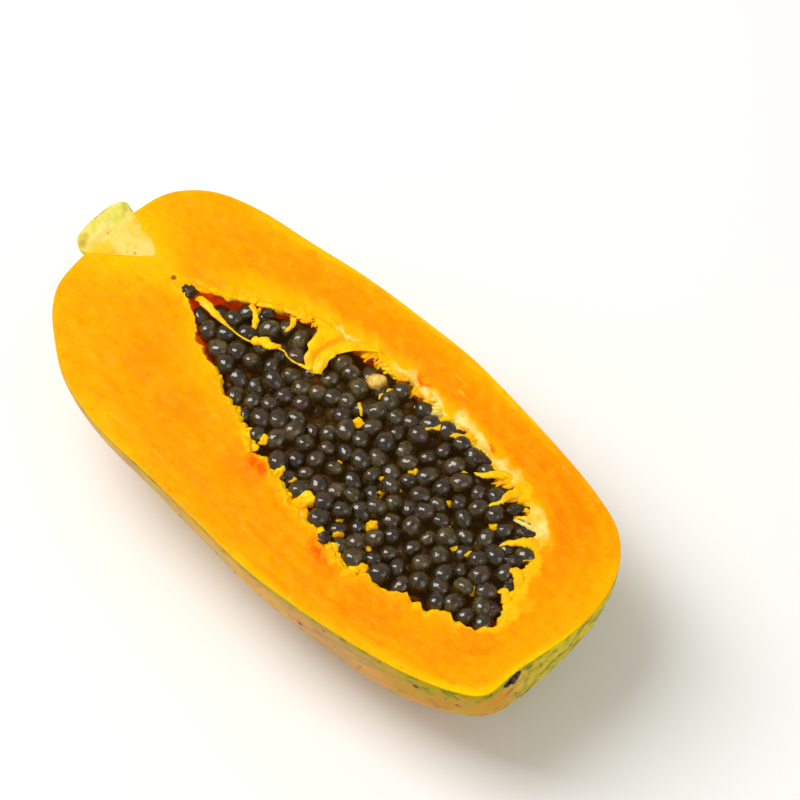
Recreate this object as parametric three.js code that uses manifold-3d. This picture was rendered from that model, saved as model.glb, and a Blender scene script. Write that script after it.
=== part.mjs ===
// Papaya half, cut lengthwise, lying on its rounded back with the cut face up.
// Units are millimetres, +Z is up, +X runs from the stalk to the blossom end.
// The outlines below lie in the cut plane; the whole half is then set down so that
// the origin is on the surface it rests on, under the middle of its bounding box.
import * as THREE from 'three';
import { mergeVertices } from 'three/addons/utils/BufferGeometryUtils.js';
import Module from 'manifold-3d';

const wasm = await Module();
wasm.setup();

// ---------------------------------------------------------------- driving dimensions
// Each outline is a closed loop of [x, y] points in the cut plane: the point at the
// stalk end, the far side, the point at the blossom end, and the near side.
const RIM = {
  stalkEnd: [-94, 2],
  blossomEnd: [95.3, 2],
  far: [
    [-92.5, 20], [-88, 29], [-79.5, 35.8], [-66, 40.2], [-48, 42.8], [-27, 45.9], [-6, 47.3],
    [14, 47.9], [34, 46.1], [54, 43.5], [71, 40.3], [83, 35.9], [91, 27.5], [95, 16],
  ],
  near: [
    [-93, -17], [-88.5, -26.3], [-80, -34], [-68, -41.5], [-50, -45.8], [-28, -46.6], [-6, -47.6],
    [14, -48.4], [34, -46.7], [54, -43.6], [70, -39.8], [82, -35.2], [90.5, -29], [92, -17],
  ],
};
const CAVITY = {
  stalkEnd: [-62, 5],
  blossomEnd: [78, -8.5],
  far: [
    [-57, 9.5], [-50, 13.5], [-42, 18], [-33, 22.5], [-22, 25.5], [-9, 27.5], [6, 28.7],
    [22, 28.2], [36, 27.6], [48, 25.3], [59, 22.5], [67, 16.5], [71.5, 8], [74.5, -1.5],
  ],
  near: [
    [-56, 0.5], [-48, -3.5], [-39, -7.5], [-29, -11.5], [-18, -15.8], [-6, -19.3], [7, -21.5],
    [20, -24.5], [31, -26.2], [43, -24.6], [54, -21], [64, -18.4], [71.5, -16], [76.5, -12.8],
  ],
};
const STALK = {
  stalkEnd: [-100.6, 3],
  blossomEnd: [-78.5, 6.5],
  far: [[-100.2, 9.5], [-98, 13.4], [-94, 12.8], [-88.5, 11.6], [-82.5, 10]],
  near: [[-100.2, -3], [-98.2, -6.6], [-94.3, -7.2], [-89, -3.2], [-83, 2]],
};

// Sections across the fruit: depth as a share of the half width, and the fullness
// exponent of the section (2 is an ellipse), both given half way along the fruit.
const FRUIT_SECTION = { depthRatio: 1.06, depthGain: 0.04, fullness: 2.1, fullnessGain: 0.45 };
const CAVITY_SECTION = { depthRatio: 1.1, depthGain: 0, fullness: 2.1, fullnessGain: 0 };
const STALK_SECTION = { depthRatio: 0.95, depthGain: 0, fullness: 2.2, fullnessGain: 0 };
const HALF_LENGTH = 95;
const FLANK_SWELL = { height: 2.4, x: 60, reach: 28 };
const RESTING_FLAT = 1.4;

// Seeds stand in staggered rows that are jittered and then eased apart in a few rounds.
const SEED_LENGTH = 7.1;
const SEED_WIDTH = 5.9;
const SEED_SIZE_SPREAD = 0.3;
const SEED_ROWS = { first: -6, last: 6, middleY: 1 };
const SEED_COLUMNS = { first: -12, last: 13 };
const SEED_PITCH = 6.1;
const SEED_JITTER = 3;
const SEED_SPAN = { first: -60, last: 75, inset: 1 };
const SEED_MARGIN = 2.6;
const SEED_TILT = 0.6;
const SEED_RANDOM_START = 20411;
const EASING = { rounds: 6, share: 0.3 };
// Heights of the seeds' centres: a level, a shallow hollow in it, and a dip at the tip.
const HEAP_LEVEL = -3.1;
const HEAP_ROUGHNESS = 1.6;
const HEAP_HOLLOW = { depth: 1.6, x: -10, y: 2, reachX: 22, reachY: 11 };
const HEAP_TIP = { depth: 3.2, x: -62, reach: 15 };
const SEED_BED = { level: -3.8, tipLevel: -5.4, tipX: -44 };

const SEED_CLEARANCE = 0.9;
const STALK_CLEARANCE = 0.6;
const MEMBRANE_CLEARANCE = 0.35;

// The lining that still hangs on the far wall: a flap over the seeds, and tufts.
const FLAP = [
  { at: [-17, 34, -5], halfWidth: 8, thickness: 1.6 },
  { at: [-17, 28.5, -1.4], halfWidth: 9.3, thickness: 1.7 },
  { at: [-18.1, 24, -0.4], halfWidth: 7.7, thickness: 1.6 },
  { at: [-18.9, 20, 0], halfWidth: 5.2, thickness: 1.5 },
  { at: [-19.5, 16.5, -0.2], halfWidth: 4, thickness: 1.4 },
  { at: [-17.8, 13.3, -0.8], halfWidth: 2.7, thickness: 1.2 },
  { at: [-17, 11.2, -1.6], halfWidth: 1.2, thickness: 1 },
];
const FLAP_SIDES = 10;
const TUFTS = { first: -32, last: 66, count: 15, overlap: 1.2, level: -1 };
const TUFT_SHAPE = { length: 4.4, width: 2.7, height: 1.9 };
const TUFT_SIZES = [0.85, 1.15];
const TUFT_HEADINGS = [-0.35, 0, 0.35];
const BLOSSOM_SCAR = { at: [91.6, -19.5, -2.8], radii: [1.8, 2.8, 2.4] };

const FRUIT_STEPS = 42;
const FRUIT_SIDES = 20;
const CAVITY_STEPS = 36;
const CAVITY_SIDES = 12;
const STALK_STEPS = 16;
const STALK_SIDES = 10;
const SEED_SIDES = 6;
const SEED_BANDS = 4;
const LUMP_SIDES = 8;
const LUMP_BANDS = 5;
const EDGE_TABLE_STEPS = 160;
// How far a tool that hollows another solid reaches above the cut plane, and a box's
// half width and depth that hold the whole fruit.
const CUT_OVERSHOOT = 3;
const HEAP_OVERSHOOT = 12;
const BEYOND_FRUIT = 110;

// ---------------------------------------------------------------- outlines and lofts
// A smooth closed curve through an outline's points, in the order of the loop.
function outlineCurve(outline) {
  const loop = [outline.stalkEnd, ...outline.far, outline.blossomEnd, ...[...outline.near].reverse()];
  const points = loop.map(([x, y]) => new THREE.Vector3(x, y, 0));
  return new THREE.CatmullRomCurve3(points, true, 'catmullrom', 0.5);
}

// Where the far and the near side of an outline are, at a share of the way along.
function sidesAt(curve, share) {
  const far = curve.getPoint(share / 2);
  const near = curve.getPoint(1 - share / 2);
  return { far, near };
}

// One cross-section: from the far edge down round the bottom and up to the near edge.
function sectionRing({ far, near }, section, sides, lift, swell) {
  const middle = far.clone().add(near).divideScalar(2);
  const half = far.clone().sub(near).divideScalar(2);
  const along = middle.x / HALF_LENGTH;
  const depth = half.length() * (section.depthRatio + section.depthGain * along);
  const power = 2 / (section.fullness + section.fullnessGain * along);
  const ring = lift > 0 ? [far.clone().setZ(lift)] : [];
  for (let i = 0; i <= sides; i += 1) {
    const angle = (Math.PI * i) / sides;
    const across = Math.sign(Math.cos(angle)) * Math.abs(Math.cos(angle)) ** power;
    const down = Math.max(Math.sin(angle), 0) ** power;
    const point = middle.clone().addScaledVector(half, across);
    point.z = -depth * down;
    if (swell && across < 0) {
      point.y -= swell.height * Math.sin(2 * (Math.PI - angle)) * bell(middle.x, swell.x, swell.reach);
    }
    ring.push(point);
  }
  if (lift > 0) {
    ring.push(near.clone().setZ(lift));
  }
  return ring;
}

function bell(x, centre, reach) {
  return Math.exp(-(((x - centre) / reach) ** 2));
}

// All the sections of a half body; it is flat on top, or carried up by a lift.
function halfBodyRings(outline, section, steps, sides, lift = 0, swell = null) {
  const curve = outlineCurve(outline);
  const rings = [];
  for (let step = 0; step <= steps; step += 1) {
    const share = (1 - Math.cos((Math.PI * step) / steps)) / 2;
    const eased = (share + step / steps) / 2;
    rings.push(sectionRing(sidesAt(curve, eased), section, sides, lift, swell));
  }
  return rings;
}

// ---------------------------------------------------------------- closed solids
function solidFromGeometry(geometry) {
  const bare = new THREE.BufferGeometry();
  bare.setAttribute('position', geometry.getAttribute('position'));
  bare.setIndex(geometry.getIndex());
  const merged = mergeVertices(bare, 1e-4);
  const corners = merged.getIndex().array;
  const kept = [];
  for (let i = 0; i < corners.length; i += 3) {
    const [a, b, c] = [corners[i], corners[i + 1], corners[i + 2]];
    if (a !== b && b !== c && c !== a) {
      kept.push(a, b, c);
    }
  }
  const mesh = new wasm.Mesh({
    numProp: 3,
    vertProperties: new Float32Array(merged.getAttribute('position').array),
    triVerts: new Uint32Array(kept),
  });
  return new wasm.Manifold(mesh);
}

// Rings of equal length, each a closed loop, are joined side by side; the first and
// the last ring are closed by a fan, which vanishes where they shrink to a point.
function solidFromRings(rings) {
  const count = rings[0].length;
  const positions = [];
  rings.forEach((ring) => ring.forEach((point) => positions.push(point.x, point.y, point.z)));
  const index = [];
  for (let r = 0; r < rings.length - 1; r += 1) {
    for (let i = 0; i < count; i += 1) {
      const next = (i + 1) % count;
      const [a, b] = [r * count + i, r * count + next];
      const [c, d] = [a + count, b + count];
      index.push(a, c, d, a, d, b);
    }
  }
  const last = (rings.length - 1) * count;
  for (let i = 1; i < count - 1; i += 1) {
    index.push(0, i, i + 1);
    index.push(last, last + i + 1, last + i);
  }
  const geometry = new THREE.BufferGeometry();
  geometry.setAttribute('position', new THREE.Float32BufferAttribute(positions, 3));
  geometry.setIndex(index);
  return solidFromGeometry(geometry);
}

function boxSolid(low, high) {
  const size = high.map((value, axis) => value - low[axis]);
  const box = new THREE.BoxGeometry(...size);
  box.translate(...high.map((value, axis) => (value + low[axis]) / 2));
  return solidFromGeometry(box);
}

// A ball flattened to three radii, turned about the vertical by a heading.
function lump(at, radii, heading = 0) {
  const ball = new THREE.SphereGeometry(1, LUMP_SIDES, LUMP_BANDS);
  ball.scale(...radii);
  ball.rotateZ(heading);
  ball.translate(...at);
  return solidFromGeometry(ball);
}

// The rings made larger (or smaller, if by is negative) about the middle of their top.
function resized(rings, by) {
  const box = new THREE.Box3().setFromPoints(rings.flat());
  const centre = box.getCenter(new THREE.Vector3()).setZ(0);
  const size = box.getSize(new THREE.Vector3());
  const deep = -box.min.z;
  const factor = new THREE.Vector3(1 + (2 * by) / size.x, 1 + (2 * by) / size.y, 1 + by / deep);
  return rings.map((ring) => ring.map((point) => {
    const moved = point.clone().sub(centre).multiply(factor).add(centre);
    if (point.z > 0) {
      moved.z = point.z;
    }
    return moved;
  }));
}

// ---------------------------------------------------------------- flesh and lining
// The back of the fruit is pressed flat where it rests.
function pressedFlat(rings, amount) {
  const lowest = Math.min(...rings.flat().map((point) => point.z));
  rings.flat().forEach((point) => {
    point.z = Math.max(point.z, lowest + amount);
  });
  return rings;
}

function membraneFlap(grow) {
  const rings = FLAP.map(({ at, halfWidth, thickness }) => {
    const ring = [];
    for (let i = 0; i < FLAP_SIDES; i += 1) {
      const angle = (2 * Math.PI * i) / FLAP_SIDES;
      const across = (halfWidth + grow) * Math.cos(angle);
      const up = (thickness / 2 + grow) * Math.sin(angle);
      ring.push(new THREE.Vector3(at[0] + across, at[1], at[2] + up));
    }
    return ring;
  });
  if (grow > 0) {
    rings.at(-1).forEach((point) => {
      point.y -= grow;
    });
  }
  return solidFromRings(rings.reverse());
}

// Tufts of lining along the far edge of the cavity, alternately longer and shorter.
function liningTufts() {
  const curve = outlineCurve(CAVITY);
  const tufts = [];
  for (let i = 0; i < TUFTS.count; i += 1) {
    const x = TUFTS.first + ((TUFTS.last - TUFTS.first) * i) / (TUFTS.count - 1);
    const edge = farEdgeAt(curve, x);
    const size = TUFT_SIZES[i % TUFT_SIZES.length];
    const radii = [TUFT_SHAPE.length * size, TUFT_SHAPE.width * size, TUFT_SHAPE.height];
    tufts.push(lump([x, edge + TUFTS.overlap, TUFTS.level], radii, TUFT_HEADINGS[i % TUFT_HEADINGS.length]));
  }
  return tufts;
}

function edgeTable(curve, side) {
  const table = [];
  for (let i = 0; i <= EDGE_TABLE_STEPS; i += 1) {
    table.push(sidesAt(curve, i / EDGE_TABLE_STEPS)[side]);
  }
  return table;
}

function interpolateY(table, x) {
  for (let i = 1; i < table.length; i += 1) {
    if (table[i].x >= x) {
      const span = table[i].x - table[i - 1].x;
      const share = span > 0 ? (x - table[i - 1].x) / span : 0;
      return table[i - 1].y + (table[i].y - table[i - 1].y) * Math.min(Math.max(share, 0), 1);
    }
  }
  return table.at(-1).y;
}

function farEdgeAt(curve, x) {
  return interpolateY(edgeTable(curve, 'far'), x);
}

function fruitHalf() {
  const rings = halfBodyRings(RIM, FRUIT_SECTION, FRUIT_STEPS, FRUIT_SIDES, 0, FLANK_SWELL);
  const body = solidFromRings(pressedFlat(rings, RESTING_FLAT));
  const cavity = halfBodyRings(CAVITY, CAVITY_SECTION, CAVITY_STEPS, CAVITY_SIDES, CUT_OVERSHOOT);
  const stalk = halfBodyRings(STALK, STALK_SECTION, STALK_STEPS, STALK_SIDES, CUT_OVERSHOOT);
  const socket = solidFromRings(resized(stalk, STALK_CLEARANCE));
  let fruit = body.subtract(solidFromRings(cavity));
  liningTufts().forEach((tuft) => {
    fruit = fruit.add(tuft);
  });
  fruit = fruit.add(membraneFlap(0));
  fruit = fruit.subtract(socket);
  return fruit.add(lump(BLOSSOM_SCAR.at, BLOSSOM_SCAR.radii));
}

// ---------------------------------------------------------------- seeds
// Whole-number draws in a fixed order, each a share from 0 up to 1.
function randomDraws(start) {
  let state = start;
  return () => {
    state = (Math.imul(state, 1664525) + 1013904223) >>> 0;
    return state / 4294967296;
  };
}

// Staggered rows over the cavity, each place jittered, then eased apart.
function seedPlaces(draw) {
  const curve = outlineCurve(CAVITY);
  const far = edgeTable(curve, 'far');
  const near = edgeTable(curve, 'near');
  const rowStep = SEED_PITCH * Math.sqrt(0.75);
  const places = [];
  for (let row = SEED_ROWS.first; row <= SEED_ROWS.last; row += 1) {
    for (let column = SEED_COLUMNS.first; column <= SEED_COLUMNS.last; column += 1) {
      const stagger = row % 2 === 0 ? 0 : SEED_PITCH / 2;
      const x = column * SEED_PITCH + stagger + (2 * draw() - 1) * SEED_JITTER;
      const y = row * rowStep + SEED_ROWS.middleY + (2 * draw() - 1) * SEED_JITTER;
      const top = interpolateY(far, x) - SEED_SPAN.inset;
      const bottom = interpolateY(near, x) + SEED_SPAN.inset;
      if (x > SEED_SPAN.first && x < SEED_SPAN.last && y < top && y > bottom) {
        places.push(new THREE.Vector2(x, y));
      }
    }
  }
  for (let round = 0; round < EASING.rounds; round += 1) {
    easeApart(places);
    places.forEach((place) => keepInside(place, far, near));
  }
  return places;
}

function easeApart(places) {
  const pushes = places.map(() => new THREE.Vector2());
  for (let i = 0; i < places.length; i += 1) {
    for (let j = i + 1; j < places.length; j += 1) {
      const apart = places[i].clone().sub(places[j]);
      const distance = apart.length();
      if (distance < SEED_PITCH && distance > 0) {
        apart.multiplyScalar((EASING.share * (SEED_PITCH - distance)) / distance);
        pushes[i].add(apart);
        pushes[j].sub(apart);
      }
    }
  }
  places.forEach((place, i) => place.add(pushes[i]));
}

function keepInside(place, far, near) {
  place.x = Math.min(Math.max(place.x, SEED_SPAN.first + SEED_SPAN.inset), SEED_SPAN.last - SEED_SPAN.inset);
  const top = interpolateY(far, place.x) - SEED_MARGIN;
  const bottom = interpolateY(near, place.x) + SEED_MARGIN;
  const middle = (top + bottom) / 2;
  place.y = top > bottom ? Math.min(Math.max(place.y, bottom), top) : middle;
}

function heapHeight(x, y) {
  const hollow = bell(x, HEAP_HOLLOW.x, HEAP_HOLLOW.reachX) * bell(y, HEAP_HOLLOW.y, HEAP_HOLLOW.reachY);
  const tip = bell(x, HEAP_TIP.x, HEAP_TIP.reach);
  return HEAP_LEVEL - HEAP_HOLLOW.depth * hollow - HEAP_TIP.depth * tip;
}

// One seed: a ball of the seed's width, stretched to its length along a direction.
function seedSolid(centre, width, length, direction) {
  const ball = new THREE.SphereGeometry(1, SEED_SIDES, SEED_BANDS);
  const position = ball.getAttribute('position');
  const point = new THREE.Vector3();
  for (let i = 0; i < position.count; i += 1) {
    point.fromBufferAttribute(position, i);
    const stretch = ((length - width) / 2) * point.dot(direction);
    point.multiplyScalar(width / 2).addScaledVector(direction, stretch).add(centre);
    position.setXYZ(i, point.x, point.y, point.z);
  }
  return solidFromGeometry(ball);
}

// The packed lower seeds, as one block that steps down towards the tip.
function seedBed() {
  const wide = BEYOND_FRUIT;
  const tip = boxSolid([-wide, -wide, -wide], [SEED_BED.tipX, wide, SEED_BED.tipLevel]);
  const main = boxSolid([SEED_BED.tipX, -wide, -wide], [wide, wide, SEED_BED.level]);
  return tip.add(main);
}

function seedHeap() {
  const draw = randomDraws(SEED_RANDOM_START);
  const solids = seedPlaces(draw).map((place) => {
    const size = 1 + (draw() - 0.5) * SEED_SIZE_SPREAD;
    const heading = draw() * Math.PI;
    const tilt = (2 * draw() - 1) * SEED_TILT;
    const height = heapHeight(place.x, place.y) + (2 * draw() - 1) * HEAP_ROUGHNESS;
    const flat = Math.cos(tilt);
    const direction = new THREE.Vector3(flat * Math.cos(heading), flat * Math.sin(heading), Math.sin(tilt));
    const centre = new THREE.Vector3(place.x, place.y, height);
    return seedSolid(centre, SEED_WIDTH * size, SEED_LENGTH * size, direction);
  });
  const space = halfBodyRings(CAVITY, CAVITY_SECTION, CAVITY_STEPS, CAVITY_SIDES, HEAP_OVERSHOOT);
  const clear = solidFromRings(resized(space, -SEED_CLEARANCE));
  let heap = clear.intersect(seedBed());
  solids.forEach((seed) => {
    heap = heap.add(seed);
  });
  heap = heap.intersect(clear);
  liningTufts().forEach((tuft) => {
    heap = heap.subtract(tuft);
  });
  return largestBody(heap.subtract(membraneFlap(MEMBRANE_CLEARANCE)));
}

// The heap without the slivers of seed that the lining cuts off.
function largestBody(solid) {
  return solid.decompose().reduce((best, body) => (body.numTri() > best.numTri() ? body : best));
}

// ---------------------------------------------------------------- named pieces
function meshFromSolid(name, solid, look) {
  const { vertProperties, triVerts } = solid.getMesh();
  const geometry = new THREE.BufferGeometry();
  geometry.setAttribute('position', new THREE.BufferAttribute(new Float32Array(vertProperties), 3));
  geometry.setIndex(new THREE.BufferAttribute(new Uint32Array(triVerts), 1));
  geometry.computeVertexNormals();
  const mesh = new THREE.Mesh(geometry, new THREE.MeshStandardMaterial({ metalness: 0, ...look }));
  mesh.name = name;
  return mesh;
}

function stalkStub() {
  return solidFromRings(halfBodyRings(STALK, STALK_SECTION, STALK_STEPS, STALK_SIDES));
}

const papaya = new THREE.Group();
papaya.add(meshFromSolid('fruit_half', fruitHalf(), { color: 0xf99d0c, roughness: 0.45 }));
papaya.add(meshFromSolid('stalk_stub', stalkStub(), { color: 0xe2d978, roughness: 0.6 }));
papaya.add(meshFromSolid('seeds', seedHeap(), { color: 0x2e2c24, roughness: 0.3 }));

const box = new THREE.Box3().setFromObject(papaya, true);
papaya.position.set(-(box.min.x + box.max.x) / 2, -(box.min.y + box.max.y) / 2, -box.min.z);

export default papaya;
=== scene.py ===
"""A halved papaya lying on its back: cut face up, cavity full of seeds, stalk stub at one end."""

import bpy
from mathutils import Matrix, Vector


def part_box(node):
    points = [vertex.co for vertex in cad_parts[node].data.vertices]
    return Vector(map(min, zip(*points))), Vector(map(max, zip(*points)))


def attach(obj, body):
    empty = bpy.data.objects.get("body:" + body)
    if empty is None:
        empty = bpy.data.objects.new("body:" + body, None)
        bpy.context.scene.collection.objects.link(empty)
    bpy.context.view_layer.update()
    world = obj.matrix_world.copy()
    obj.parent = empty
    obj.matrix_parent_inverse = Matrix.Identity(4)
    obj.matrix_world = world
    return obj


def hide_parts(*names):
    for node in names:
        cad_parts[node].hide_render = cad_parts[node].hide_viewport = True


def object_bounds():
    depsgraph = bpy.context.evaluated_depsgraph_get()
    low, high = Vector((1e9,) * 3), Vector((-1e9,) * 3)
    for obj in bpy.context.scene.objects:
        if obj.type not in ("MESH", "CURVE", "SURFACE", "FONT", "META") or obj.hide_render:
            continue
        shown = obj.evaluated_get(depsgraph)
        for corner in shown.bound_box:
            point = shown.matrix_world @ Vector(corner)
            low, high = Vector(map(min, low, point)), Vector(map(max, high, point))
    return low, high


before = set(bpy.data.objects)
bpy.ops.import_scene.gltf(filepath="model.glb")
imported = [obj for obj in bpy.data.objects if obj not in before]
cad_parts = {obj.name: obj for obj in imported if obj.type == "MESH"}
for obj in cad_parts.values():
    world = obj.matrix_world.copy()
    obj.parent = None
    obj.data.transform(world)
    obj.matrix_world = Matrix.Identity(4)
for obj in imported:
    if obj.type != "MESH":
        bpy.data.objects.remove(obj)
cad_box = [list(corner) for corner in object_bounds()]

import math

import bmesh
import bpy
import numpy as np
from mathutils import Matrix, Vector

# ---------------------------------------------------------------- where the fruit lies
# The cut face is level. Shapes are worked out in millimetres in the cut plane, with x
# from the stalk (-) to the blossom end (+), and then set into the frame, in metres.
MM = 0.001
RIM = {
    "stalk_end": (-94, 2),
    "blossom_end": (95.3, 2),
    "far": [(-92.5, 20), (-88, 29), (-79.5, 35.8), (-66, 40.2), (-48, 42.8), (-27, 45.9), (-6, 47.3),
            (14, 47.9), (34, 46.1), (54, 43.5), (71, 40.3), (83, 35.9), (91, 27.5), (95, 16)],
    "near": [(-93, -17), (-88.5, -26.3), (-80, -34), (-68, -41.5), (-50, -45.8), (-28, -46.6), (-6, -47.6),
             (14, -48.4), (34, -46.7), (54, -43.6), (70, -39.8), (82, -35.2), (90.5, -29), (92, -17)],
}
STALK_TIP_X = -100.6


def curve(before, start, end, after, share):
    """The uniform Catmull-Rom cubic: the point at a share of the way from start to end."""
    cubic = 3 * start - before - 3 * end + after
    square = 2 * before - 5 * start + 4 * end - after
    return 0.5 * (2 * start + (end - before) * share + square * share**2 + cubic * share**3)


def outline_at(outline, share):
    """Point on a closed outline at a share of its way round: the curve through its four nearest
    points."""
    loop = [outline["stalk_end"], *outline["far"], outline["blossom_end"], *outline["near"][::-1]]
    points = np.array(loop, float)
    place = np.asarray(share, float) * len(points)
    index = np.floor(place).astype(int)
    nearest = (points[(index + k) % len(points)] for k in (-1, 0, 1, 2))
    return curve(*nearest, (place - index)[..., None])


rim_points = outline_at(RIM, np.linspace(0, 1, 2000, endpoint=False))
stalk_low, stalk_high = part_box("stalk_stub")
fruit_low, fruit_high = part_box("fruit_half")
CUT_LEVEL = stalk_high.z / MM
PLACE = np.array([
    stalk_low.x / MM - STALK_TIP_X,
    (fruit_low.y + fruit_high.y) / 2 / MM - (rim_points[:, 1].min() + rim_points[:, 1].max()) / 2,
    CUT_LEVEL,
])

# ---------------------------------------------------------------- camera
# It looks down on the cut face from the near side and the blossom end, from 1.14 m.
VIEW_AZIMUTH, VIEW_ELEVATION, VIEW_ROLL = math.radians(42.67), math.radians(63.37), math.radians(1.37)
VIEW_DISTANCE = 1.14
FOCAL_PIXELS = 3871.0
FRAME_PIXELS = 800
FRUIT_PIXEL = (327.3, 431.8)

camera_data = bpy.data.cameras.new("camera")
camera = bpy.data.objects.new("camera", camera_data)
bpy.context.scene.collection.objects.link(camera)
back = Vector((math.sin(VIEW_AZIMUTH) * math.cos(VIEW_ELEVATION),
               -math.cos(VIEW_AZIMUTH) * math.cos(VIEW_ELEVATION), math.sin(VIEW_ELEVATION)))
level_right = Vector((math.cos(VIEW_AZIMUTH), math.sin(VIEW_AZIMUTH), 0))
level_up = back.cross(level_right)
right = math.cos(VIEW_ROLL) * level_right + math.sin(VIEW_ROLL) * level_up
up = -math.sin(VIEW_ROLL) * level_right + math.cos(VIEW_ROLL) * level_up
eye = Vector(PLACE * MM) + VIEW_DISTANCE * back
# The fruit's middle lies off the frame's centre, so the camera is aimed a little past it.
aim_right = (FRAME_PIXELS / 2 - FRUIT_PIXEL[0]) / FOCAL_PIXELS
aim_up = (FRUIT_PIXEL[1] - FRAME_PIXELS / 2) / FOCAL_PIXELS
away = (back - aim_right * right - aim_up * up).normalized()
side = up.cross(away).normalized()
above = away.cross(side)
camera.matrix_world = Matrix.Translation(eye) @ Matrix((side, above, away)).transposed().to_4x4()
camera_data.sensor_width = 36
camera_data.lens = FOCAL_PIXELS / FRAME_PIXELS * camera_data.sensor_width
camera_data.clip_start, camera_data.clip_end = 0.05, 10
bpy.context.scene.camera = camera

# ---------------------------------------------------------------- flesh and skin
# One grown piece: thick orange flesh round the seed cavity, in a thin skin. The knife has left
# the face level; at the cavity the flesh is torn where the seeds and the lining sat.
CAVITY = {
    "stalk_end": (-62, 5),
    "blossom_end": (78, -8.5),
    "far": [(-57, 9.5), (-50, 13.5), (-42, 18), (-33, 22.5), (-22, 25.5), (-9, 27.5), (6, 28.7),
            (22, 28.2), (36, 27.6), (48, 25.3), (59, 22.5), (67, 16.5), (71.5, 8), (74.5, -1.5)],
    "near": [(-56, 0.5), (-48, -3.5), (-39, -7.5), (-29, -11.5), (-18, -15.8), (-6, -19.3), (7, -21.5),
             (20, -24.5), (31, -26.2), (43, -24.6), (54, -21), (64, -18.4), (71.5, -16), (76.5, -12.8)],
}
FRUIT_SECTION = {"depth": 1.06, "depth_gain": 0.04, "fullness": 2.1, "fullness_gain": 0.45}
CAVITY_SECTION = {"depth": 1.1, "depth_gain": 0.0, "fullness": 2.1, "fullness_gain": 0.0}
HALF_LENGTH = 95
FLANK_SWELL, SWELL_X, SWELL_REACH = 2.4, 60, 28
LOOP = 560
SKIN_ROWS, EDGE_ROWS, FACE_ROWS, WALL_ROWS = 44, 4, 60, 24
SKIN_RING = 1.3
RIM_ROUNDING = 0.35
STALK_SEAT = 0.8
DENT_SIZE, DENT_DEPTH, DENT_LEVEL = 13, 1.1, 0.55
LINING_NEAR, LINING_FAR_MORE, LINING_BLOSSOM_MORE = 2.9, 2.1, 3.0
CAVITY_MIDDLE = np.array([8.0, 1.0])
STALK = {
    "stalk_end": (-100.6, 3),
    "blossom_end": (-78.5, 6.5),
    "far": [(-100.2, 9.5), (-98, 13.4), (-94, 12.8), (-88.5, 11.6), (-82.5, 10)],
    "near": [(-100.2, -3), (-98.2, -6.6), (-94.3, -7.2), (-89, -3.2), (-83, 2)],
}
LIP_DROP = 1.2


def bell(x, centre, reach):
    """A bell curve: one at its centre, falling with the square of the distance over the reach."""
    return np.exp(-(((x - centre) / reach) ** 2))


def half_body(outline, section, share, side, angle, swell=0.0):
    """Surface of a half body. At a share of the way along, the section runs from the rim (angle 0)
    to the lowest line (a quarter turn): across by the cosine and down by the sine, each raised to
    two over the fullness. side is +1 for the far flank and -1 for the near one, whose middle a
    swell pushes out, in mm."""
    far = outline_at(outline, share / 2)
    near = outline_at(outline, (1 - share / 2) % 1.0)
    middle = (far + near) / 2
    half = (far - near) / 2
    along = middle[..., 0] / HALF_LENGTH
    power = 2 / (section["fullness"] + section["fullness_gain"] * along)
    depth = np.hypot(half[..., 0], half[..., 1]) * (section["depth"] + section["depth_gain"] * along)
    across = side * np.clip(np.cos(angle), 0, 1) ** power
    down = np.clip(np.sin(angle), 0, 1) ** power
    x = middle[..., 0] + half[..., 0] * across
    y = middle[..., 1] + half[..., 1] * across
    y = y - swell * np.where(side < 0, np.sin(2 * angle), 0) * bell(middle[..., 0], SWELL_X, SWELL_REACH)
    return np.stack(np.broadcast_arrays(x, y, -depth * down), -1)


def smooth_noise(points, size, seed, waves=14):
    """Soft noise round zero with a spread of about 1: sine waves in seeded directions, whose
    lengths lie between 0.7 and 1.6 times the size, added up and divided by the root of half
    their number."""
    random = np.random.default_rng(seed)
    direction = random.normal(size=(waves, 3))
    direction /= np.linalg.norm(direction, axis=1, keepdims=True)
    length = size * random.uniform(0.7, 1.6, waves)
    phase = random.uniform(0, 2 * np.pi, waves)
    angle = np.einsum("...k,wk->...w", points, direction * (2 * np.pi / length)[:, None]) + phase
    return np.sin(angle).sum(-1) * (2 / waves) ** 0.5


def loop_places(count):
    """Places round an outline, as the share of the way along and the side (+1 far, -1 near). They
    are evenly spaced and half eased by a cosine, so that both round ends get more of them."""
    step = np.arange(count // 2 + 1) / (count // 2)
    eased = (step + (1 - np.cos(np.pi * step)) / 2) / 2
    share = np.concatenate([eased, eased[-2:0:-1]])
    side = np.where(np.arange(count) <= count // 2, 1.0, -1.0)
    return share, side


def loop_points(outline, share, side):
    """The outline's points at those places."""
    return outline_at(outline, np.where(side > 0, share / 2, (1 - share / 2) % 1.0))


def torn_push(hole):
    """How far the cavity's edge is pushed out, in mm: dents that seeds have left, from the size of
    a noise without its sign, and two finer noises for tearing, all fading out at the sharp stalk
    end."""
    level = np.concatenate([hole, np.zeros((len(hole), 1))], 1)
    dents = np.abs(smooth_noise(level, DENT_SIZE, 31)) - DENT_LEVEL
    push = DENT_DEPTH * dents + 0.4 * smooth_noise(level, 3.4, 32) + 0.22 * smooth_noise(level, 1.5, 33)
    return push * np.clip((hole[:, 0] + 62) / 10, 0, 1)


def outward_of(hole):
    """The direction away from the cavity, square to its edge, at each of its points."""
    tangent = np.roll(hole, -1, 0) - np.roll(hole, 1, 0)
    normal = np.stack([-tangent[:, 1], tangent[:, 0]], 1) / np.linalg.norm(tangent, axis=1, keepdims=True)
    return normal * np.sign(((hole - CAVITY_MIDDLE) * normal).sum(1, keepdims=True))


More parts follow.
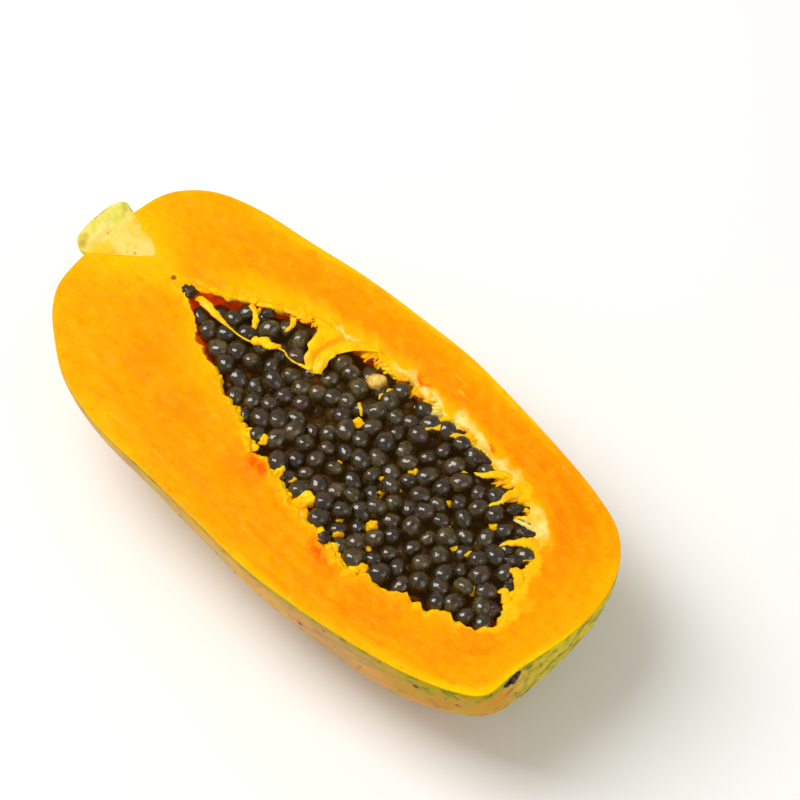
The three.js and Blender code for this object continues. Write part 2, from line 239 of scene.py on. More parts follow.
def lining_width(x, side):
    """How wide the band of lining is that shows at the cavity's edge: one width on the near side,
    more on the far side past x -26, and more still where it curls round the blossom end."""
    far = np.where(side > 0, 1.0, 0.0) * np.clip((x + 42) / 16, 0, 1)
    curl = bell(x, 72, 8) * np.where(side > 0, 1.0, 0.25)
    return LINING_NEAR + far * LINING_FAR_MORE + LINING_BLOSSOM_MORE * curl


def skin_grid(share, side):
    """Rows of the skin from the lowest line to the rim: the half body, with faint ribs along it
    and soft dents, pressed flat where it rests. Also each row's ring, which is its angle past a
    fixed start."""
    angle = np.linspace(math.pi / 2, 0, SKIN_ROWS + 1)[:-1]
    skin = half_body(RIM, FRUIT_SECTION, share[None], side[None], angle[:, None], FLANK_SWELL)
    ribs = 0.35 * np.sin(2 * angle)[:, None] * np.cos(5.5 * angle)[:, None]
    skin[..., 1] += ribs * side[None]
    skin[..., 2] += 0.25 * smooth_noise(skin, 22, 51) * np.sin(angle)[:, None] ** 0.5
    skin[..., 2] = np.maximum(skin[..., 2], fruit_low.z / MM - CUT_LEVEL)
    return skin, SKIN_RING + angle


def edge_table(outline, far):
    """The outline's far or near side at 161 even places along it."""
    share = np.arange(161) / 160
    return outline_at(outline, share / 2 if far else (1 - share / 2) % 1.0)


def inside_stalk(points):
    """How far inside the stalk's wedge a point is, in mm across the fruit; negative outside."""
    far, near = edge_table(STALK, True), edge_table(STALK, False)
    x, y = points[..., 0], points[..., 1]
    room = np.minimum(np.interp(x, far[:, 0], far[:, 1]) - y, y - np.interp(x, near[:, 0], near[:, 1]))
    return np.where(x < far[-1, 0], room, -1)


def face_relief(face, from_rim):
    """Height of the cut face, in mm: faint waves and fibres that fade out at the rim, and a
    shallow seat under the stalk's wedge."""
    relief = 0.12 * smooth_noise(face, 10, 41) + 0.06 * smooth_noise(face * [0.4, 1, 1], 2.4, 42)
    seat = np.clip((inside_stalk(face) - 0.3) / 0.9, 0, 1)
    return relief * np.clip(from_rim / 1.5, 0, 1) * (1 - seat) - STALK_SEAT * seat


def fruit_grid():
    """The whole closed surface, as rows round the outline: from the lowest line up the skin to the
    rim, round the knife's edge, across the face to the cavity, and down its wall. Returns the
    points; the ring, above 1 on the skin, 1 to 0 across the face and negative down the wall; and
    the lining, 1 at the cavity's edge and 0 where its band ends."""
    share, side = loop_places(LOOP)
    skin, skin_ring = skin_grid(share, side)
    rim = loop_points(RIM, share, side)
    bare_hole = loop_points(CAVITY, share, side)
    push = torn_push(bare_hole)[:, None] * outward_of(bare_hole)
    hole = bare_hole + push
    inward = (hole - rim) / np.linalg.norm(hole - rim, axis=1, keepdims=True)
    flat = np.zeros((LOOP, 1))
    seat = STALK_SEAT * np.clip(inside_stalk(rim) / 0.9, 0, 1)[:, None]
    edge = [np.concatenate([rim + inward * RIM_ROUNDING * (1 - math.cos(turn)),
                            flat - RIM_ROUNDING * (1 - math.sin(turn)) - seat], 1)
            for turn in np.linspace(0.12, 1, EDGE_ROWS) * math.pi / 2]
    start = rim + inward * RIM_ROUNDING
    step = np.linspace(0, 1, FACE_ROWS + 1)[1:] ** 0.85
    face = start[None] + (hole - start)[None] * step[:, None, None]
    face = np.concatenate([face, np.zeros(face.shape[:2] + (1,))], -1)
    from_rim = np.linalg.norm(face[..., :2] - start[None], axis=-1)
    from_hole = np.linalg.norm(face[..., :2] - hole[None], axis=-1)
    width = lining_width(hole[:, 0], side)[None] * (1 + 0.3 * smooth_noise(face, 9, 43))
    lining = np.clip(1 - from_hole / width, 0, 1)
    fibres = smooth_noise(face * [0.45, 1, 1], 2.4, 44) + 0.5 * smooth_noise(face * [0.3, 1, 1], 1.0, 45)
    coarse = 0.3 * (1 - 0.75 * np.clip((face[..., 0] - 52) / 10, 0, 1))
    face[..., 2] = face_relief(face, from_rim) + np.minimum(lining * 2, 1) * coarse * fibres
    lip = LIP_DROP * (0.4 + 0.6 * np.clip((hole[:, 0] + 50) / 12, 0, 1))
    face[..., 2] -= lip * np.clip(1 - from_hole / (0.6 * width), 0, 1) ** 1.6
    down = np.linspace(0, math.pi / 2, WALL_ROWS + 1)[1:]
    wall = half_body(CAVITY, CAVITY_SECTION, share[None], side[None], down[:, None])
    keep = np.clip(1 - down / 0.5, 0, 1)[:, None]
    wall[..., :2] += push[None] * keep[..., None]
    wall[..., 2] -= lip * keep
    points = np.concatenate([skin, np.array(edge), face, wall])
    edge_ring = 1 + 0.02 * np.arange(EDGE_ROWS)[::-1]
    ring = np.concatenate([skin_ring, edge_ring, 1 - step, -down / (math.pi / 2)])
    above = np.zeros((SKIN_ROWS + EDGE_ROWS, LOOP))
    band = np.concatenate([above, lining, np.clip(1 - down / 0.3, 0, 1)[:, None] * np.ones((1, LOOP))])
    return points, np.repeat(ring[:, None], LOOP, 1), band


def mesh_piece(name, points, faces, materials, attributes=None):
    """A mesh object at the origin whose points, in millimetres in the cut plane's frame, are put
    into the frame in metres and kept inside the CAD box. attributes are numbers for each point."""
    placed = np.clip((np.asarray(points, float) + PLACE) * MM, *np.array(cad_box))
    mesh = bpy.data.meshes.new(name)
    mesh.from_pydata(placed.tolist(), [], [tuple(f) for f in faces])
    for key, values in (attributes or {}).items():
        layer = mesh.attributes.new(key, "FLOAT", "POINT")
        layer.data.foreach_set("value", np.asarray(values, np.float32).ravel())
    for material in materials:
        mesh.materials.append(material)
    mesh.polygons.foreach_set("use_smooth", np.ones(len(mesh.polygons), bool))
    piece = bpy.data.objects.new(name, mesh)
    bpy.context.scene.collection.objects.link(piece)
    return piece


def grid_faces(rows, columns):
    """Quads of a grid stored row by row, facing outwards, with its last column joined to the first."""
    r = np.arange(rows - 1)[:, None]
    c = np.arange(columns)[None]
    right = (c + 1) % columns
    corners = [r * columns + c, (r + 1) * columns + c, (r + 1) * columns + right, r * columns + right]
    return np.stack(np.broadcast_arrays(*corners), -1).reshape(-1, 4)


def joined(grids):
    """The points and quads of several grids, each a closed tube or ball, as one mesh."""
    points = np.concatenate([grid.reshape(-1, 3) for grid in grids])
    starts = np.cumsum([0] + [grid.shape[0] * grid.shape[1] for grid in grids[:-1]])
    faces = [grid_faces(*grid.shape[:2]) + start for grid, start in zip(grids, starts)]
    return points, np.concatenate(faces)


def weld(piece, distance=1e-6):
    """Joins points that lie on one another, so that seams and poles are closed."""
    shape = bmesh.new()
    shape.from_mesh(piece.data)
    bmesh.ops.remove_doubles(shape, verts=shape.verts, dist=distance)
    bmesh.ops.dissolve_degenerate(shape, edges=shape.edges, dist=distance)
    shape.to_mesh(piece.data)
    shape.free()


class Finish:
    """The nodes of one material, added one at a time. An input is a number, a colour or another
    node's output."""

    def __init__(self, name):
        """A new material whose only shader is a Principled one."""
        self.material = bpy.data.materials.new(name)
        self.material.use_nodes = True
        self.nodes = self.material.node_tree.nodes
        self.links = self.material.node_tree.links
        self.surface = self.nodes["Principled BSDF"]

    def put(self, target, key, value):
        """Links an output to an input, or sets the input's own value."""
        socket = target.inputs[key]
        if isinstance(value, bpy.types.NodeSocket):
            self.links.new(value, socket)
        elif isinstance(value, (tuple, list)) and socket.type == "RGBA":
            socket.default_value = (*value[:3], 1)
        else:
            socket.default_value = value

    def add(self, kind, inputs=(), output=0, **settings):
        """A node of a kind with its settings and inputs; returns one of its outputs."""
        node = self.nodes.new("ShaderNode" + kind)
        for key, value in settings.items():
            setattr(node, key, value)
        for key, value in dict(inputs).items():
            self.put(node, key, value)
        return node.outputs[output]

    def set(self, **values):
        """Sets the surface's sockets; their names are written with _ for a space."""
        for key, value in values.items():
            self.put(self.surface, key.replace("_", " "), value)

    def place(self, scale=(1, 1, 1), turn=(0, 0, 0)):
        """The point on the piece, in metres, stretched and turned."""
        point = self.add("TexCoord", output=3)
        return self.add("Mapping", {"Vector": point, "Scale": scale, "Rotation": turn})

    def noise(self, size, detail=4, rough=0.55, stretch=(1, 1, 1), turn=(0, 0, 0)):
        """Noise from 0 to 1 whose features are about a size across, in metres."""
        point = self.place(stretch, turn)
        return self.add("TexNoise", {"Vector": point, "Scale": 1 / size, "Detail": detail,
                                     "Roughness": rough})

    def number(self, name):
        """A number kept at each point of the piece."""
        return self.add("Attribute", output=2, attribute_name=name)

    def math(self, operation, *numbers):
        """The numbers joined, one after another, by the operation."""
        result = numbers[0]
        for number in numbers[1:]:
            result = self.add("Math", {0: result, 1: number}, operation=operation)
        return result

    def times(self, *factors):
        """The product of the factors."""
        return self.math("MULTIPLY", *factors)

    def step(self, value, low, high, to_low=0.0, to_high=1.0):
        """Rises smoothly from to_low to to_high as the value goes from low to high."""
        return self.add("MapRange", {"Value": value, "From Min": low, "From Max": high,
                                     "To Min": to_low, "To Max": to_high}, interpolation_type="SMOOTHSTEP")

    def ramp(self, value, stops):
        """A colour for each value, from (value, colour) stops."""
        node = self.nodes.new("ShaderNodeValToRGB")
        self.put(node, "Fac", value)
        elements = node.color_ramp.elements
        for extra in stops[2:]:
            elements.new(extra[0])
        for element, (position, colour) in zip(elements, stops):
            element.position = position
            element.color = (*colour, 1)
        return node.outputs["Color"]

    def mix(self, colour, over, *shares):
        """The colour mixed towards another one by the product of the shares."""
        node = self.nodes.new("ShaderNodeMix")
        node.data_type = "RGBA"
        self.put(node, "Factor", self.times(*shares))
        self.put(node, 6, colour)
        self.put(node, 7, over)
        return node.outputs[2]

    def axis(self, which):
        """One coordinate of the point, in metres."""
        point = self.add("TexCoord", output=3)
        return self.add("SeparateXYZ", {"Vector": point}, output="XYZ".index(which))

    def spot(self, x, y, reach):
        """One at a place on the cut face (in mm from its middle) and zero beyond its reach."""
        centre = tuple((np.array([x, y, 0]) + PLACE) * MM)
        point = self.add("TexCoord", output=3)
        away = self.add("VectorMath", {0: point, 1: centre}, output="Value", operation="DISTANCE")
        return self.step(away, reach * MM, 0.3 * reach * MM)

    def dab(self, colour, over, spots, *shares):
        """The colour with another one at each spot (x, y, reach, share), times the shares."""
        for x, y, reach, share in spots:
            colour = self.mix(colour, over, self.spot(x, y, reach), share, *shares)
        return colour

    def bump(self, height, strength, distance):
        """Raises the surface by the height, in metres at the distance given."""
        normal = self.add("Bump", {"Height": height, "Strength": strength, "Distance": distance})
        self.put(self.surface, "Normal", normal)


# Spots on the cut face: x, y and reach in mm, and how strong each is.
PALE_VEINS = [(-87, 4.5, 21, 0.6), (-74, 4.5, 9, 0.5), (-66, 4.5, 6, 0.5), (-88, 3, 12, 0.5)]
DEEP_SPOTS = [(48, -33, 12, 0.5), (76, -17, 9, 0.5), (71, 22, 12, 0.5), (-12, -24, 9, 0.5),
              (-6, -26, 6, 0.5), (30, -35, 8, 0.4), (-56, -19, 9, 0.35), (-38, -25, 10, 0.35)]
RED_BLUSHES = [(7, 30, 4.5, 0.95), (38, 28.4, 3.4, 0.95), (26, -27.0, 7.5, 0.95),
               (-6.8, -21.6, 5.5, 0.95), (-38, 20, 3, 0.95), (11, 30.5, 3, 0.95)]
DRY_PLACES = [(27, 31, 17), (64, 20, 8), (-18, 26, 6), (4, 29, 7), (13, 31, 8), (46, 27.5, 7)]
DARK_FLECK = [(-69, 5.2, 1.3, 0.9)]


def flesh_finish():
    """Moist ripe flesh: orange, deepest half way through, yellower to the skin, the stalk and the
    cavity's lining, with faint arcs that follow the skin, soft mottling and a few pale flecks
    along the fruit. The lining's band is yellow, with cream-white dry fibres on the far side, and
    the cavity's wall is red, painted darker and browner the deeper it goes as painted shade, with a
    faint painted glow for the light that seeps in."""
    paint = Finish("moist_flesh")
    ring, lining = paint.number("ring"), paint.number("lining")
    x, y = paint.axis("X"), paint.axis("Y")
    middle_x = PLACE[0] * MM
    cloud = paint.noise(0.022, 3, stretch=(0.6, 1, 1))
    wander = paint.step(cloud, 0.3, 0.7, -0.10, 0.10)
    colour = paint.ramp(paint.math("ADD", ring, wander), [
        (0.00, (1.0, 0.44, 0.0)), (0.14, (1.0, 0.35, 0.0)), (0.34, (1.0, 0.285, 0.0)),
        (0.60, (1.0, 0.290, 0.0)), (0.80, (1.0, 0.335, 0.0)), (0.93, (1.0, 0.400, 0.0)),
        (1.0, (0.98, 0.52, 0.001)),
    ])
    colour = paint.mix(colour, (1.0, 0.375, 0.0), paint.step(y, 0.0, -0.030), 0.35)
    far_blossom = paint.times(paint.step(x, middle_x + 0.020, middle_x + 0.060), paint.step(y, 0.0, 0.020))
    colour = paint.mix(colour, (1.0, 0.225, 0.0), far_blossom, paint.step(ring, 0.90, 0.70), 0.5)
    stalk_side = paint.step(x, middle_x - 0.030, middle_x - 0.080)
    colour = paint.mix(colour, (1.0, 0.365, 0.0), stalk_side, 0.62)
    blossom_rim = paint.step(x, middle_x + 0.070, middle_x + 0.094)
    colour = paint.mix(colour, (1.0, 0.43, 0.0), blossom_rim, 0.75)
    near_blossom = paint.times(paint.step(x, middle_x + 0.050, middle_x + 0.084),
                               paint.step(y, 0.016, -0.008))
    colour = paint.mix(colour, (1.0, 0.62, 0.0), near_blossom, paint.step(ring, 0.86, 0.99), 0.9)
    colour = paint.dab(colour, (1.0, 0.55, 0.001), PALE_VEINS)
    colour = paint.dab(colour, (1.0, 0.215, 0.0), DEEP_SPOTS)
    along_arcs = paint.add("CombineXYZ", {"X": paint.times(ring, 9), "Y": paint.times(x, 22),
                                          "Z": paint.times(y, 22)})
    arcs = paint.add("TexNoise", {"Vector": along_arcs, "Scale": 1.0, "Detail": 4, "Roughness": 0.6})
    clear = paint.step(x, middle_x - 0.050, middle_x + 0.030, 0.45, 1.0)
    arcs = paint.math("ADD", 0.5, paint.times(paint.math("SUBTRACT", arcs, 0.5), clear))
    colour = paint.mix(colour, (1.0, 0.205, 0.0), paint.step(arcs, 0.50, 0.70, 0.0, 0.45))
    colour = paint.mix(colour, (1.0, 0.40, 0.0), paint.step(arcs, 0.46, 0.30, 0.0, 0.36))
    mottle = paint.noise(0.0026, 5, 0.62, stretch=(0.72, 1, 1))
    colour = paint.mix(colour, (1.0, 0.43, 0.002), paint.step(mottle, 0.48, 0.68, 0.0, 0.34))
    colour = paint.mix(colour, (1.0, 0.20, 0.0), paint.step(mottle, 0.46, 0.30, 0.0, 0.34))
    flecks = paint.noise(0.0021, 3, 0.5, stretch=(0.30, 1, 1), turn=(0, 0, 0.1))
    patch = paint.step(paint.noise(0.017, 2), 0.50, 0.62)
    colour = paint.mix(colour, (1.0, 0.56, 0.05), paint.step(flecks, 0.635, 0.72), patch, 0.42)
    far_halo = paint.times(paint.step(ring, 0.36, 0.12), paint.step(y, 0.012, 0.022))
    colour = paint.mix(colour, (1.0, 0.48, 0.0), far_halo, 0.85)
    torn = paint.noise(0.0030, 4, 0.6)
    colour = paint.dab(colour, (1.0, 0.080, 0.0), RED_BLUSHES, paint.step(torn, 0.30, 0.56))
    band = paint.step(paint.math("ADD", lining, paint.step(torn, 0.3, 0.7, -0.22, 0.22)), 0.0, 0.75)
    colour = paint.mix(colour, (1.0, 0.56, 0.004), band, 0.85)
    dry = paint.math("MAXIMUM", *(paint.spot(*place) for place in DRY_PLACES))
    dry = paint.times(dry, paint.step(paint.noise(0.0045, 5, 0.7), 0.30, 0.58))
    in_band = paint.times(paint.step(lining, 0.02, 0.50), paint.step(lining, 0.98, 0.60, 0.25, 1.0))
    colour = paint.mix(colour, (1.0, 0.78, 0.25), dry, in_band)
    threads = paint.noise(0.0011, 4, 0.7)
    colour = paint.mix(colour, (0.95, 0.36, 0.002), paint.step(threads, 0.50, 0.36, 0.0, 0.55), band)
    colour = paint.dab(colour, (0.22, 0.04, 0.004), DARK_FLECK)
    # The wall's own colour is red; its darkening with depth is painted shade in the cavity.
    wall = paint.ramp(paint.times(ring, -1.0), [
        (0.0, (1.0, 0.30, 0.0)), (0.08, (0.95, 0.12, 0.0)), (0.30, (0.75, 0.050, 0.001)),
        (0.8, (0.45, 0.020, 0.002)),
    ])
    wall = paint.mix(wall, (0.36, 0.035, 0.001), paint.step(torn, 0.42, 0.60, 0.0, 0.7))
    colour = paint.mix(colour, wall, paint.step(ring, -0.01, -0.08))
    # The emission on the wall is a painted glow that stands in for light seeping in through the flesh.
    paint.set(Base_Color=colour, Roughness=0.42, Subsurface_Weight=0.30, Subsurface_Scale=0.003,
              Subsurface_Radius=(1.0, 0.35, 0.08), Specular_IOR_Level=0.04, Coat_Weight=0.01,
              Coat_Roughness=0.25, IOR=1.38, Emission_Color=(1.0, 0.07, 0.0),
              Emission_Strength=paint.step(ring, -0.01, -0.10, 0.0, 0.11))
    paint.bump(paint.math("ADD", mottle, paint.times(threads, band)), 0.35, 0.0007)
    return paint.material


# Brown speckles, from cells of three sizes in metres: past which share a cell holds one, and the
# speckle's reach as a share of its cell.
SPECKLES = [(0.0038, 0.70, 0.20), (0.0085, 0.74, 0.17), (0.019, 0.80, 0.12)]


def skin_finish():
    """Thin ripe skin: yellow ochre, cloudy with tan and orange, with grey-green streaks along the
    fruit that gather into green blotches at the blossom end, brown speckles and corky spots."""
    paint = Finish("ripe_skin")
    x, y, z = paint.axis("X"), paint.axis("Y"), paint.axis("Z")
    cloud = paint.noise(0.040, 5, 0.6)
    colour = paint.ramp(cloud, [
        (0.32, (0.70, 0.36, 0.012)), (0.47, (0.84, 0.47, 0.014)), (0.58, (0.90, 0.58, 0.025)),
        (0.72, (0.78, 0.40, 0.03)),
    ])
    near_side = paint.step(y, 0.005, -0.020)
    tan = paint.step(paint.noise(0.018, 4, 0.6, stretch=(0.35, 1, 1)), 0.36, 0.60)
    colour = paint.mix(colour, (0.82, 0.37, 0.10), tan, near_side, 0.85)
    streaks = paint.noise(0.0070, 6, 0.75, stretch=(0.35, 1, 1))
    colour = paint.mix(colour, (0.34, 0.27, 0.15), paint.step(streaks, 0.44, 0.64), near_side, 0.55)
    colour = paint.mix(colour, (0.86, 0.42, 0.08), paint.step(streaks, 0.45, 0.32), near_side, 0.5)
    blossom_side = paint.step(x, 0.045, 0.088)
    golden = paint.step(paint.noise(0.012, 4, 0.6), 0.42, 0.58)
    colour = paint.mix(colour, (0.78, 0.36, 0.010), golden, blossom_side, 0.75)
    colour = paint.mix(colour, (0.70, 0.58, 0.008), paint.step(y, -0.022, -0.006),
                       paint.step(x, 0.060, 0.085), 0.9)
    blotch = paint.noise(0.0046, 6, 0.70, stretch=(0.75, 1, 1))
    far_skin = paint.times(paint.step(y, -0.034, -0.018, 0.25, 1.0), blossom_side)
    colour = paint.mix(colour, (0.13, 0.18, 0.004), paint.step(blotch, 0.46, 0.64), far_skin, 0.9)
    colour = paint.mix(colour, (0.84, 0.60, 0.014), paint.step(blotch, 0.46, 0.32), far_skin, 0.7)
    corner = paint.times(paint.step(x, 0.058, 0.078), paint.step(cloud, 0.30, 0.60, 1.0, 0.70))
    amber = paint.mix((0.72, 0.27, 0.003), (0.62, 0.42, 0.004), paint.step(streaks, 0.42, 0.60))
    colour = paint.mix(colour, amber, corner, paint.step(y, -0.014, -0.024))
    ring = paint.number("ring")
    line = paint.times(paint.step(ring, 1.345, 1.305), paint.step(blotch, 0.34, 0.60, 0.2, 0.9))
    rim_moss = paint.times(paint.step(ring, 1.46, 1.32), paint.step(x, 0.052, 0.078))
    rind = paint.math("MAXIMUM", line, paint.times(rim_moss, paint.step(blotch, 0.42, 0.56)))
    colour = paint.mix(colour, (0.42, 0.42, 0.004), rind)
    dark_moss = paint.step(paint.noise(0.0030, 5, 0.7, stretch=(0.6, 1, 1)), 0.50, 0.62)
    colour = paint.mix(colour, (0.11, 0.13, 0.010), dark_moss, rind, 0.8)
    moss = paint.step(paint.noise(0.026, 5, 0.65), 0.50, 0.64)
    colour = paint.mix(colour, (0.33, 0.30, 0.018), moss, paint.step(z, 0.044, 0.020), 0.55)
    rust = paint.step(paint.noise(0.0055, 5, 0.7), 0.57, 0.66)
    colour = paint.mix(colour, (0.26, 0.13, 0.02), rust, paint.step(cloud, 0.42, 0.58), 0.5)
    ragged = paint.noise(0.0015, 3, 0.7)
    for size, share, reach in SPECKLES:
        cell = paint.nodes.new("ShaderNodeTexVoronoi")
        paint.put(cell, "Vector", paint.place())
        paint.put(cell, "Scale", 1 / size)
        chosen = paint.step(cell.outputs["Color"], share, share + 0.04)
        away = paint.math("ADD", cell.outputs["Distance"], paint.step(ragged, 0.3, 0.7, -0.08, 0.08))
        colour = paint.mix(colour, (0.075, 0.030, 0.007), paint.step(away, reach * 1.5, reach), chosen, 0.85)
    paint.set(Base_Color=colour, Roughness=0.42, Subsurface_Weight=0.10, Subsurface_Scale=0.002,
              Subsurface_Radius=(1.0, 0.5, 0.1), Specular_IOR_Level=0.05, Coat_Weight=0.01,
              Coat_Roughness=0.35)
    pores = paint.noise(0.0011, 3, 0.6)
    waves = paint.noise(0.010, 3)
    paint.bump(paint.math("ADD", pores, paint.times(waves, 2.0)), 0.25, 0.0007)
    return paint.material


fruit_points, fruit_ring, fruit_lining = fruit_grid()
fruit = mesh_piece("papaya_half", *joined([fruit_points]), [flesh_finish(), skin_finish()],
                   {"ring": fruit_ring, "lining": fruit_lining})
quad_row = np.repeat(np.arange(len(fruit_points) - 1), LOOP)
fruit.data.polygons.foreach_set("material_index", (quad_row < SKIN_ROWS).astype(np.int32))
weld(fruit)
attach(fruit, "root")
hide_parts("fruit_half")

# ---------------------------------------------------------------- seeds
# Dark ovoid seeds, each in a clear gel coat, heaped in the cavity up to the cut face. Two more
# layers lie under the ones that show, half sunk in the wet orange-brown pulp they hang from.
# These lower seeds wear a browner, duller, glowing copy of the seeds' finish: painted shade and
# warm bounce light for the depth they lie at.
SEED_LENGTH, SEED_WIDTH, SEED_SIZE_SPREAD = 7.1, 5.9, 0.3
SEED_PITCH, SEED_JITTER, SEED_MARGIN, SEED_TILT = 6.1, 3.0, 2.6, 0.6
SEED_TAPER, SEED_LUMPS, SEED_LUMP_SIZE = 0.16, 0.045, 2.1
SEED_ROWS, SEED_COLUMNS, SEED_X = range(-6, 7), range(-12, 14), (-59, 74)
SEED_RANDOM_START = 20411
HEAP_LEVEL, HEAP_ROUGHNESS = -3.1, 1.6
HEAP_HOLLOW = {"depth": 1.6, "x": -10, "y": 2, "reach_x": 22, "reach_y": 11}
HEAP_TIP = {"depth": 3.2, "x": -62, "reach": 15}
FLAP_PRESS = {"depth": 1.3, "x": -19, "y": 19, "reach_x": 6, "reach_y": 9}
EASE_ROUNDS, EASE_SHARE = 6, 0.3
# The rounding of a seed's few faces draws it in a little; the swell makes up for that.
SEED_SWELL = 1.065
# Below the top layer: where each layer's draws start, how much deeper it lies and its shrink.
LOWER_LAYERS = [(30517, 4.4, 0.98), (40829, 8.6, 0.93)]
BED_LOOP, BED_ROWS = 240, 60
BED_LEVEL, BED_WAVES, BED_BANK, BED_THICKNESS = -7.6, 1.3, 2.6, 2.0
# Seeds near these places are pale olive.
PALER_SEEDS = [(-14.0, 8.2), (-20.0, 7.2), (-8.0, 25.4), (-12.0, 19.6), (-2.4, 15.0)]
PALER_REACH = 3.2


def random_draws(start):
    """Draws from 0 up to 1 in a fixed order: a whole number, multiplied, raised and cut to 32 bits
    each time, over the largest."""
    state = start
    while True:
        state = (state * 1664525 + 1013904223) % 2**32
        yield state / 2**32


def keep_inside(places, far, near, margin):
    """The places moved inside the cavity by the margin, or to its middle where it is narrow."""
    x = np.clip(places[:, 0], *SEED_X)
    top = np.interp(x, far[:, 0], far[:, 1]) - margin
    bottom = np.interp(x, near[:, 0], near[:, 1]) + margin
    y = np.clip(places[:, 1], bottom, np.maximum(top, bottom))
    return np.stack([x, np.where(top > bottom, y, (top + bottom) / 2)], 1)


def seed_places(draw):
    """Staggered rows over the cavity, each place jittered, then eased apart until few are closer
    than the pitch."""
    far, near = edge_table(CAVITY, True), edge_table(CAVITY, False)
    places = []
    for row in SEED_ROWS:
        for column in SEED_COLUMNS:
            x = (column + (row % 2) / 2) * SEED_PITCH + (2 * next(draw) - 1) * SEED_JITTER
            y = row * SEED_PITCH * 0.75**0.5 + 1 + (2 * next(draw) - 1) * SEED_JITTER
            low, high = (np.interp(x, table[:, 0], table[:, 1]) for table in (near, far))
            if SEED_X[0] - 1 < x < SEED_X[1] + 1 and low + 1 < y < high - 1:
                places.append((x, y))
    places = np.array(places)
    for _ in range(EASE_ROUNDS):
        apart = places[:, None] - places[None]
        distance = np.linalg.norm(apart, axis=-1)
        near_by = (distance < SEED_PITCH) & (distance > 0)
        push = np.where(near_by, EASE_SHARE * (SEED_PITCH - distance) / np.maximum(distance, 1e-9), 0)
        places = keep_inside(places + (apart * push[..., None]).sum(1), far, near, SEED_MARGIN)
    return places


def heap_height(x, y):
    """Height of the top seeds' centres: a level less three bells, for a shallow hollow, the press
    of the lining's flap and the sunken tip."""
    dip = sum(low["depth"] * bell(x, low["x"], low["reach_x"]) * bell(y, low["y"], low["reach_y"])
              for low in (HEAP_HOLLOW, FLAP_PRESS))
    return HEAP_LEVEL - dip - HEAP_TIP["depth"] * bell(x, HEAP_TIP["x"], HEAP_TIP["reach"])


def seed_shape():
    """A unit ball of 54 quads: a cube of three by three faces a side, pushed out to the ball."""
    shape = bmesh.new()
    bmesh.ops.create_cube(shape, size=2)
    bmesh.ops.subdivide_edges(shape, edges=shape.edges, cuts=2, use_grid_fill=True)
    corners = np.tan(np.array([v.co for v in shape.verts]) * math.pi / 4)
    faces = np.array([[v.index for v in face.verts][::-1] for face in shape.faces])
    shape.free()
    return corners / np.linalg.norm(corners, axis=1, keepdims=True), faces


def seed_mesh(name, centres, directions, sizes, material, seed):
    """One mesh of seeds. Each is the unit ball stretched along its direction, a little fuller at
    one end and a little lumpy, and lowered where it would reach over the box. Kept at each point:
    where it is on its seed, for the fine ridges, and the seed's tone, from 0 to 1 by chance and up
    to 2 on the paler seeds."""
    random = np.random.default_rng(seed)
    ball, faces = seed_shape()
    ball = ball * SEED_SWELL
    along = directions[:, None]
    across = np.cross(along, [0.0, 0.0, 1.0])
    across /= np.linalg.norm(across, axis=-1, keepdims=True)
    upward = np.cross(across, along)
    end = ball[None, :, :1]
    slim = 1 - SEED_TAPER * end * random.uniform(0.1, 1, (len(centres), 1, 1))
    apart = ball[None] + 5 * np.arange(len(centres))[:, None, None]
    lumps = 1 + SEED_LUMPS * smooth_noise(apart, SEED_LUMP_SIZE, seed)
    half_width = SEED_WIDTH / 2 * sizes[:, None, None]
    half_length = SEED_LENGTH / 2 * sizes[:, None, None]
    local = np.concatenate([end * half_length, ball[None, :, 1:2] * half_width * slim,
                            ball[None, :, 2:] * half_width * slim], -1) * lumps[..., None]
    points = centres[:, None] + local[..., :1] * along + local[..., 1:2] * across + local[..., 2:] * upward
    points[..., 2] -= np.maximum(points[..., 2].max(1) + PLACE[2] - cad_box[1][2] / MM, 0)[:, None]
    all_faces = (faces[None] + len(ball) * np.arange(len(centres))[:, None, None]).reshape(-1, 4)
    tone = random.uniform(0, 1, len(centres))
    for x, y in PALER_SEEDS:
        paler = 2 * bell(centres[:, 0], x, PALER_REACH) * bell(centres[:, 1], y, PALER_REACH)
        tone = np.maximum(tone, paler)
    tone = np.repeat(tone, len(ball))
    piece = mesh_piece(name, points.reshape(-1, 3), all_faces, [material], {"tone": tone})
    place = local + 40 * random.uniform(0, 1, (len(centres), 1, 3))
    layer = piece.data.attributes.new("on_seed", "FLOAT_VECTOR", "POINT")
    layer.data.foreach_set("vector", place.astype(np.float32).ravel())
    return piece


def heap_layer(start, drop, shrink):
    """Centres, directions and sizes of one layer's seeds, drawn by the rule; a lower layer lies
    deeper by its drop and narrower by its shrink."""
    draw = random_draws(start)
    places = seed_places(draw)
    picks = np.array([[next(draw) for _ in range(4)] for _ in places])
    size = 1 + (picks[:, 0] - 0.5) * SEED_SIZE_SPREAD
    heading, tilt = picks[:, 1] * math.pi, (2 * picks[:, 2] - 1) * SEED_TILT
    height = heap_height(places[:, 0], places[:, 1]) + (2 * picks[:, 3] - 1) * HEAP_ROUGHNESS - drop
    flat = np.cos(tilt)
    direction = np.stack([flat * np.cos(heading), flat * np.sin(heading), np.sin(tilt)], 1)
    places = CAVITY_MIDDLE + (places - CAVITY_MIDDLE) * shrink
    return np.column_stack([places, height]), direction, size


